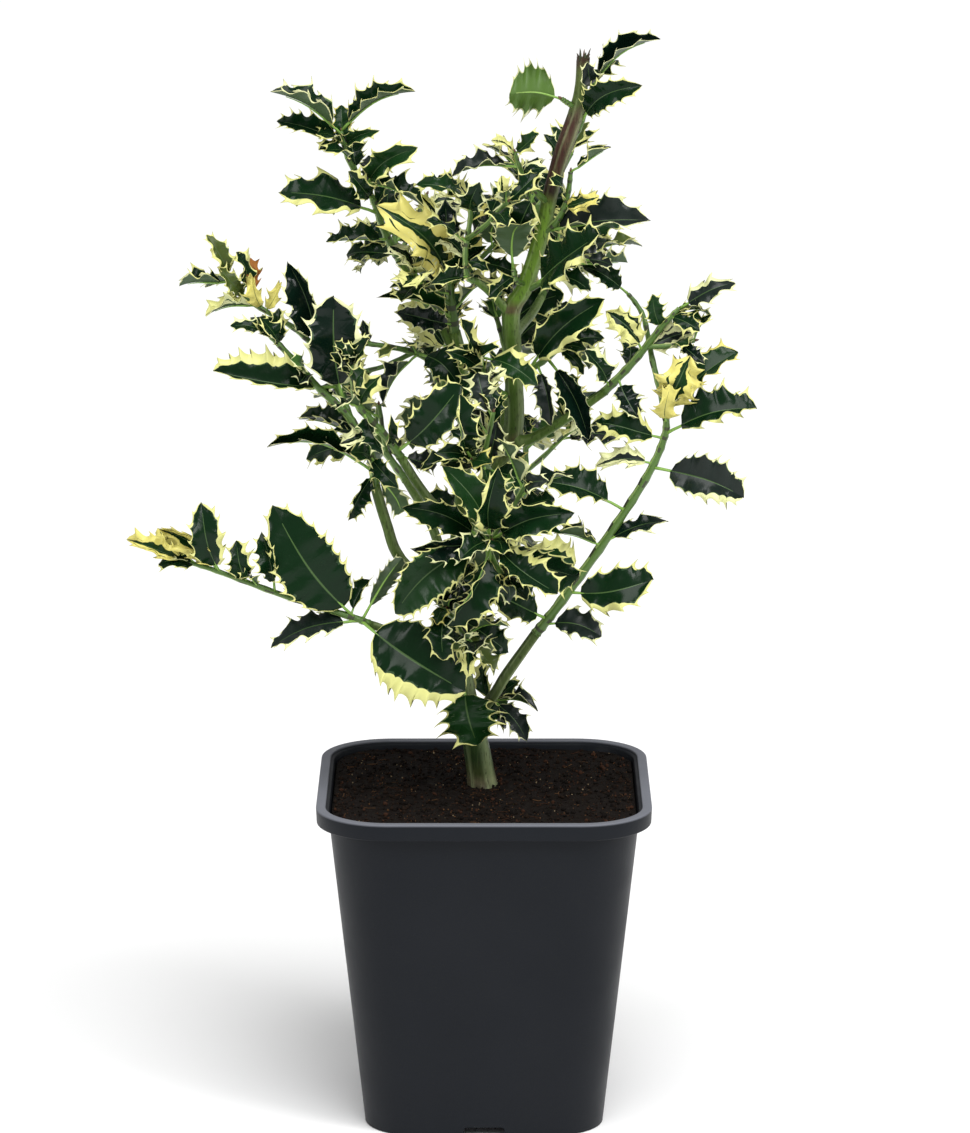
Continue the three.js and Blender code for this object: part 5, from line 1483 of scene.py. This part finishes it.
def add_splinters(plant, pile):
    """The torn fibres of the trunk's cut tip."""
    s = SPLINTERS
    random = np.random.default_rng(s["seed"])
    trunk = plant.limbs["trunk"]
    top, way, girth = trunk.points[-1], unit(trunk.points[-1] - trunk.points[-2]), trunk.radii[-1]
    for k in range(s["count"]):
        out = lean_off(way, 360 * k / s["count"] + random.uniform(-s["stray"], s["stray"]), 90)
        long = within(s["length"], random.uniform() ** s["mostly_short"])
        run = unit(way + out * random.uniform(*s["lean"])) * long
        foot = top + out * girth * random.uniform(*s["foot"]) - way * s["sink"]
        line = foot + np.outer(s["places"], run) + np.outer(s["bend"], out)
        thick = within(s["girth"], random.uniform())
        tint = STEM[random.choice(s["tints"])]
        pile.add_tube(line, thick * np.array(s["taper"]), s["sides"], tint)


# A bough's foot is thicker: over which stretch in full and how it fades after it, in mm, and by
# how much. Its tip reaches a little into the shoot that goes on from it.
BOUGH_FLARE = dict(full=6, fade=8, extra=0.25)
BOUGH_REACH = 1.5
# Linear colours of the boughs' bark at shares of the way between two heights, in mm.
BOUGH_COLOURS = [
    (0, (0.05, 0.065, 0.024)), (0.35, (0.065, 0.11, 0.022)), (1, (0.09, 0.17, 0.026)),
]
BOUGH_HEIGHTS = (240, 600)


def make_boughs(plant):
    """Each bough swept from inside its parent, flared at its foot."""
    bark = bark_material("bough_bark", BOUGH_COLOURS, *BOUGH_HEIGHTS)
    for name, (_, _, girth, run) in BOUGHS.items():
        root = plant.limbs[name].points[0]
        points = smooth_line([root, *run], BARK["bough_steps"])
        last = points[-1] + unit(points[-1] - points[-2]) * BOUGH_REACH
        points = np.concatenate([points, [last]])
        reach = np.concatenate([[0], np.cumsum(np.linalg.norm(np.diff(points, axis=0), axis=1))])
        radii = np.interp(reach, [0, reach[-1]], girth)
        past = np.maximum(0, reach - BOUGH_FLARE["full"])
        radii *= 1 + BOUGH_FLARE["extra"] * np.exp(-(past / BOUGH_FLARE["fade"]) ** 2)
        bough = swept("holly_" + name, points, radii, BARK["bough_sides"])
        relief(bough, points, BARK["bough_sides"], BARK["bough_depth"], children_knobs(plant, name))
        bough.data.materials.append(bark)
        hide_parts(name)
        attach(bough, "root")


# ------ pot

def pot_half(z):
    """Half width of the pot's outside at a height below the lip."""
    under = POT["rim_half"] - POT["lip_step"]
    return POT["foot_half"] + (under - POT["foot_half"]) * z / (POT["height"] - POT["lip_height"])


def raise_by(height):
    bpy.ops.mesh.extrude_region_move(TRANSFORM_OT_translate={"value": (0, 0, height * MM)})


def widen(half, from_half, z):
    size = half / from_half
    bpy.ops.transform.resize(value=(size, size, 1), center_override=(0, 0, z * MM))


def make_pot():
    """A tapered pot with rounded corners, a stout lip, an inside and four foot notches."""
    foot, height, lip = POT["foot_half"], POT["height"], POT["lip_height"]
    lip_foot = height - lip
    under, rim = POT["rim_half"] - POT["lip_step"], POT["rim_half"]
    deselect()
    bpy.ops.mesh.primitive_plane_add(size=2 * foot * MM, location=(0, 0, 0))
    pot = bpy.context.object
    pot.name = "nursery_pot"
    bpy.ops.object.mode_set(mode="EDIT")
    bpy.ops.mesh.select_all(action="SELECT")
    bpy.ops.mesh.bevel(offset=POT["foot_corner"] * MM, segments=POT["corner_steps"],
                       affect="VERTICES")
    bpy.ops.mesh.select_all(action="SELECT")
    raise_by(lip_foot)
    widen(under, foot, lip_foot)
    raise_by(0)
    widen(rim - POT["lip_draft"], under, lip_foot)
    raise_by(lip)
    widen(rim, rim - POT["lip_draft"], height)
    bpy.ops.mesh.inset(thickness=POT["lip_flat"] * MM)
    raise_by(-POT["lip_inner"])
    bpy.ops.mesh.inset(thickness=POT["lip_inner"] * MM)
    inside_top = lip_foot - POT["lip_drop"]
    raise_by(inside_top - (height - POT["lip_inner"]))
    inner = pot_half(inside_top) - POT["wall"]
    widen(inner, rim - POT["lip_flat"] - POT["lip_inner"], inside_top)
    raise_by(POT["floor"] - inside_top)
    widen(pot_half(POT["floor"]) - POT["wall"], inner, POT["floor"])
    bpy.ops.mesh.select_all(action="SELECT")
    bpy.ops.mesh.normals_make_consistent(inside=False)
    bpy.ops.object.mode_set(mode="OBJECT")
    edge = pot.modifiers.new("edges", "BEVEL")
    edge.width = POT["lip_edge"] * MM
    edge.segments = POT["edge_steps"]
    edge.limit_method = "ANGLE"
    edge.angle_limit = radians(POT["edge_angle"])
    bpy.ops.object.modifier_apply(modifier=edge.name)
    for turn in range(4):
        cut_notch(pot, radians(90 * turn))
    deselect()
    pot.select_set(True)
    bpy.context.view_layer.objects.active = pot
    bpy.ops.object.shade_smooth_by_angle(angle=radians(POT["smooth_angle"]))
    pot.data.materials.append(pot_material())
    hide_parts("pot")
    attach(pot, "root")


def cut_notch(pot, turn):
    """One shallow notch in the foot, with rounded upper corners."""
    deselect()
    middle = pot_half(0)
    place = (middle * cos(turn) * MM, middle * sin(turn) * MM, 0)
    bpy.ops.mesh.primitive_cube_add(size=1, location=place, rotation=(0, 0, turn))
    cutter = bpy.context.object
    cutter.scale = (2 * POT["notch_depth"] * MM, POT["notch_width"] * MM, 2 * POT["notch_height"] * MM)
    bpy.ops.object.transform_apply(location=False, rotation=False, scale=True)
    edge = cutter.modifiers.new("round", "BEVEL")
    edge.width = POT["notch_round"] * MM
    edge.segments = POT["edge_steps"]
    bpy.ops.object.modifier_apply(modifier=edge.name)
    bpy.context.view_layer.objects.active = pot
    cut = pot.modifiers.new("notch", "BOOLEAN")
    cut.operation = "DIFFERENCE"
    cut.object = cutter
    cut.solver = "EXACT"
    bpy.ops.object.modifier_apply(modifier=cut.name)
    bpy.data.objects.remove(cutter)


# Black plastic: its clouds, its sheen and its grain, and the painted highlight on the top of the lip,
# which begins and is full this far under the pot's top, in mm.
PLASTIC = dict(
    base=((0.01, 0.01, 0.012), 0.42, 0.13), clouds=(14, 4), dark=(0.0066, 0.0082, 0.0112),
    light=(0.0084, 0.01, 0.0132), sheen=(40, 4), rough=(0.4, 0.48), grain=(1300, 2), bump=0.00012,
    bump_share=0.7,
)
LIP_HIGHLIGHT = dict(start=1.5, full=0.2, share=0.55, colour=(0.26, 0.27, 0.31))


def pot_material():
    """Satin black moulded plastic: faint clouds, a fine grain and a painted highlight along the top of
    the lip.
    """
    skin = Skin("pot_plastic", *PLASTIC["base"])
    clouds = skin.spread(skin.noise(*PLASTIC["clouds"]), 0, 1)
    colour = skin.mix(clouds, PLASTIC["dark"], PLASTIC["light"])
    # painted highlight: the top of the lip is painted a paler slate grey, as lit from above
    start, full = (POT["height"] - LIP_HIGHLIGHT["start"]) * MM, (POT["height"] - LIP_HIGHLIGHT["full"]) * MM
    lip = skin.spread(skin.place("Z"), 0, LIP_HIGHLIGHT["share"], start, full)
    skin.paint(skin.mix(lip, colour, LIP_HIGHLIGHT["colour"]))
    return skin.finish(PLASTIC["sheen"], *PLASTIC["rough"], PLASTIC["grain"], PLASTIC["bump"],
                       PLASTIC["bump_share"])


# ------ compost

# The compost, in mm: its gaps to the pot's wall and floor, and how far it has settled.
COMPOST = dict(rings=46, around=160, gap=0.6, above_floor=1, foot_gap=4, settled=0.6)
# Lumps and grit of its top: how fine they are, their layer of the noise, octaves and height.
SOIL_NOISES = ((0.018, 3, 2, 1.3), (0.16, 7, 3, 1.0))


def soil_edge(angle, half, corner):
    """How far a rounded square reaches in a direction."""
    x, y = abs(cos(angle)), abs(sin(angle))
    flat = half / max(x, y)
    if min(x, y) * flat <= half - corner:
        return flat
    c = half - corner
    along_way = c * (x + y)
    return along_way + sqrt(max(0, along_way ** 2 - 2 * c * c + corner * corner))


def soil_height(x, y):
    """The compost's lumpy top, in mm."""
    height = SOIL_TOP - COMPOST["settled"]
    for fine, layer, octaves, strength in SOIL_NOISES:
        height += noise_of(Vector((x * fine, y * fine, layer)), octaves) * strength
    return height


def make_compost():
    half = pot_half(SOIL_TOP) - POT["wall"] - COMPOST["gap"]
    corner = POT["rim_corner"] - POT["lip_step"] - POT["wall"]
    n, rings = COMPOST["around"], COMPOST["rings"]
    points = []
    for i in range(1, rings + 1):
        for k in range(n):
            a = 2 * pi * k / n
            r = soil_edge(a, half, corner) * i / rings
            x, y = r * cos(a), r * sin(a)
            points.append((x, y, soil_height(x, y)))
    floor = POT["floor"] + GAP + COMPOST["above_floor"]
    low = pot_half(floor) - POT["wall"] - COMPOST["foot_gap"]
    for k in range(n):
        a = 2 * pi * k / n
        r = soil_edge(a, low, POT["foot_corner"] - COMPOST["foot_gap"])
        points.append((r * cos(a), r * sin(a), floor))
    points += [(0, 0, soil_height(0, 0)), (0, 0, floor)]
    faces = []
    for i in range(rings):
        for k in range(n):
            a, b = i * n + k, i * n + (k + 1) % n
            faces.append((a, a + n, b + n, b))
    top, bottom = len(points) - 2, len(points) - 1
    caps = [(k, (k + 1) % n, top) for k in range(n)]
    caps += [((k + 1) % n + rings * n, k + rings * n, bottom) for k in range(n)]
    pile = Pile()
    pile.add(np.array(points), (np.array(faces), 0), (np.array(caps), 0))
    soil = pile.make("compost", [compost_material("compost_ground", GROUND_TINT)])
    loose = make_crumbs(half, corner)
    for piece in (soil, loose):
        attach(piece, "root")
    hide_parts("soil")


GROUND_TINT = (0.006, 0.0038, 0.0026)
CRUMB_TINTS = dict(
    black=(0.005, 0.0034, 0.0026), brown=(0.012, 0.0066, 0.004), red=(0.035, 0.015, 0.008),
    straw=(0.09, 0.045, 0.02), pale=(0.2, 0.15, 0.09),
)
# What lies on the compost, in mm, with the numbers of its tints and the share of each.
STREWN = dict(seed=7, edge=1.5, corner=1)
CRUMBS = dict(count=2600, size=(0.5, 1.5), mostly_small=3, sides=(0.6, 1.2), knobbly=(0.8, 1.2),
              rise=0.3, tints=([0, 1, 2], [0.55, 0.35, 0.1]))
FLAKES = dict(count=700, size=(0.25, 0.6), sides=(0.5, 1.5), tints=([2, 3, 4], [0.5, 0.4, 0.1]))
FIBRES = dict(count=150, length=(3, 11), steps=5, bow=0.3, rise=0.5, edge=3, girth=(0.14, 0.3),
              sides=4, tints=([1, 2, 3], [0.4, 0.35, 0.25]))


def pebble_form():
    """Points and faces of a small round form, 1 mm in radius."""
    deselect()
    bpy.ops.mesh.primitive_ico_sphere_add(subdivisions=1, radius=1)
    stone = bpy.context.object
    form = np.array([v.co for v in stone.data.vertices])
    faces = np.array([list(p.vertices) for p in stone.data.polygons])
    bpy.data.objects.remove(stone)
    return form, faces


def make_crumbs(half, corner):
    """Crumbs, pale flakes and fibres scattered over the compost."""
    random = np.random.default_rng(STREWN["seed"])
    form, faces = pebble_form()
    pile = Pile()

    def place():
        a = random.uniform(0, 2 * pi)
        edge = soil_edge(a, half - STREWN["edge"], corner - STREWN["corner"])
        r = edge * sqrt(random.uniform())
        return r * cos(a), r * sin(a)

    def tint_of(tints):
        numbers, shares = tints
        return random.choice(numbers, p=shares)

    for _ in range(CRUMBS["count"]):
        x, y = place()
        size = within(CRUMBS["size"], random.uniform() ** CRUMBS["mostly_small"])
        shape = form * (size * random.uniform(*CRUMBS["sides"], 3))
        shape = shape * random.uniform(*CRUMBS["knobbly"], (len(form), 1))
        rise = soil_height(x, y) + CRUMBS["rise"] * size
        pile.add(shape + [x, y, rise], (faces, tint_of(CRUMBS["tints"])))
    for _ in range(FLAKES["count"]):
        x, y = place()
        size = random.uniform(*FLAKES["size"])
        shape = form * (size * random.uniform(*FLAKES["sides"], 3))
        pile.add(shape + [x, y, soil_height(x, y) + size], (faces, tint_of(FLAKES["tints"])))
    for _ in range(FIBRES["count"]):
        x, y = place()
        a, long = random.uniform(0, 2 * pi), random.uniform(*FIBRES["length"])
        steps = np.linspace(-0.5, 0.5, FIBRES["steps"])
        bow = random.uniform(-FIBRES["bow"], FIBRES["bow"])
        line = [(x + long * (s * cos(a) - bow * s * s * sin(a)),
                 y + long * (s * sin(a) + bow * s * s * cos(a))) for s in steps]
        line = np.array([(px, py, soil_height(px, py) + FIBRES["rise"]) for px, py in line])
        if abs(line[:, :2]).max() > half - FIBRES["edge"]:
            continue
        girth = np.full(len(line), random.uniform(*FIBRES["girth"]))
        pile.add_tube(line, girth, FIBRES["sides"], tint_of(FIBRES["tints"]))
    skins = [compost_material("crumb_" + name, colour) for name, colour in CRUMB_TINTS.items()]
    return pile.make("compost_crumbs", skins)


EARTH = dict(roughness=0.9, gloss=0.1, sheen=(300, 3), rough=(0.75, 1.0), grain=(700, 5), bump=0.0012)


def compost_material(name, colour):
    """Damp compost of one plain colour, grainy and dull."""
    skin = Skin(name, colour, EARTH["roughness"], EARTH["gloss"])
    return skin.finish(EARTH["sheen"], *EARTH["rough"], EARTH["grain"], EARTH["bump"])


# ------ studio

CAMERA = dict(distance=3.5, rise=13.0, target=(0.00065, 0, 0.36756), lens=168.754, sensor=36)
FLOOR = dict(size=40, colour=(0.92, 0.92, 0.92), roughness=0.8, grain=(300, 3), bump=0.0002,
             bump_share=0.2)
# Soft boxes by place, size and power, and the point they are aimed at.
LIGHTS = [
    ("left_softbox", (-2.2, -1.4, 1.5), 0.8, 16),
    ("right_softbox", (2.0, -1.6, 1.7), 0.8, 25),
]
AIM = (0, 0, 0.4)
SKY = dict(strength=2.95, spread=48, tilt=(28, 0, 18))
SURROUND = 0.34


def make_camera():
    rise = radians(CAMERA["rise"])
    away = Vector((0, -cos(rise), sin(rise)))
    data = bpy.data.cameras.new("camera")
    data.lens = CAMERA["lens"]
    data.sensor_width = CAMERA["sensor"]
    camera = bpy.data.objects.new("camera", data)
    camera.location = Vector(CAMERA["target"]) + away * CAMERA["distance"]
    camera.rotation_euler = (-away).to_track_quat("-Z", "Y").to_euler()
    bpy.context.collection.objects.link(camera)
    bpy.context.scene.camera = camera


def make_floor():
    """A plain pale floor."""
    deselect()
    bpy.ops.mesh.primitive_plane_add(size=FLOOR["size"], location=(0, 0, 0))
    floor = bpy.context.object
    floor.name = "floor"
    skin = Skin("floor_paper", FLOOR["colour"], FLOOR["roughness"])
    skin.bump(skin.noise(*FLOOR["grain"]), FLOOR["bump"], FLOOR["bump_share"])
    floor.data.materials.append(skin.material)


def make_lights():
    """Soft light from both sides of the front and from above, and a pale surround."""
    world = bpy.data.worlds.new("studio")
    world.use_nodes = True
    world.node_tree.nodes["Background"].inputs["Color"].default_value = (1, 1, 1, 1)
    world.node_tree.nodes["Background"].inputs["Strength"].default_value = SURROUND
    bpy.context.scene.world = world
    for name, place, size, power in LIGHTS:
        light = bpy.data.lights.new(name, "AREA")
        light.size = size
        light.energy = power
        lamp = bpy.data.objects.new(name, light)
        lamp.location = place
        lamp.rotation_euler = (Vector(AIM) - Vector(place)).to_track_quat("-Z", "Y").to_euler()
        bpy.context.collection.objects.link(lamp)
    sky = bpy.data.lights.new("ceiling", "SUN")
    sky.energy = SKY["strength"]
    sky.angle = radians(SKY["spread"])
    ceiling = bpy.data.objects.new("ceiling", sky)
    ceiling.rotation_euler = [radians(a) for a in SKY["tilt"]]
    bpy.context.collection.objects.link(ceiling)
    bpy.context.scene.view_settings.view_transform = "Standard"


# ------ the holly

make_camera()
make_floor()
make_lights()
make_pot()
make_compost()
holly = Plant()
make_trunk(holly)
make_boughs(holly)
make_foliage(holly)
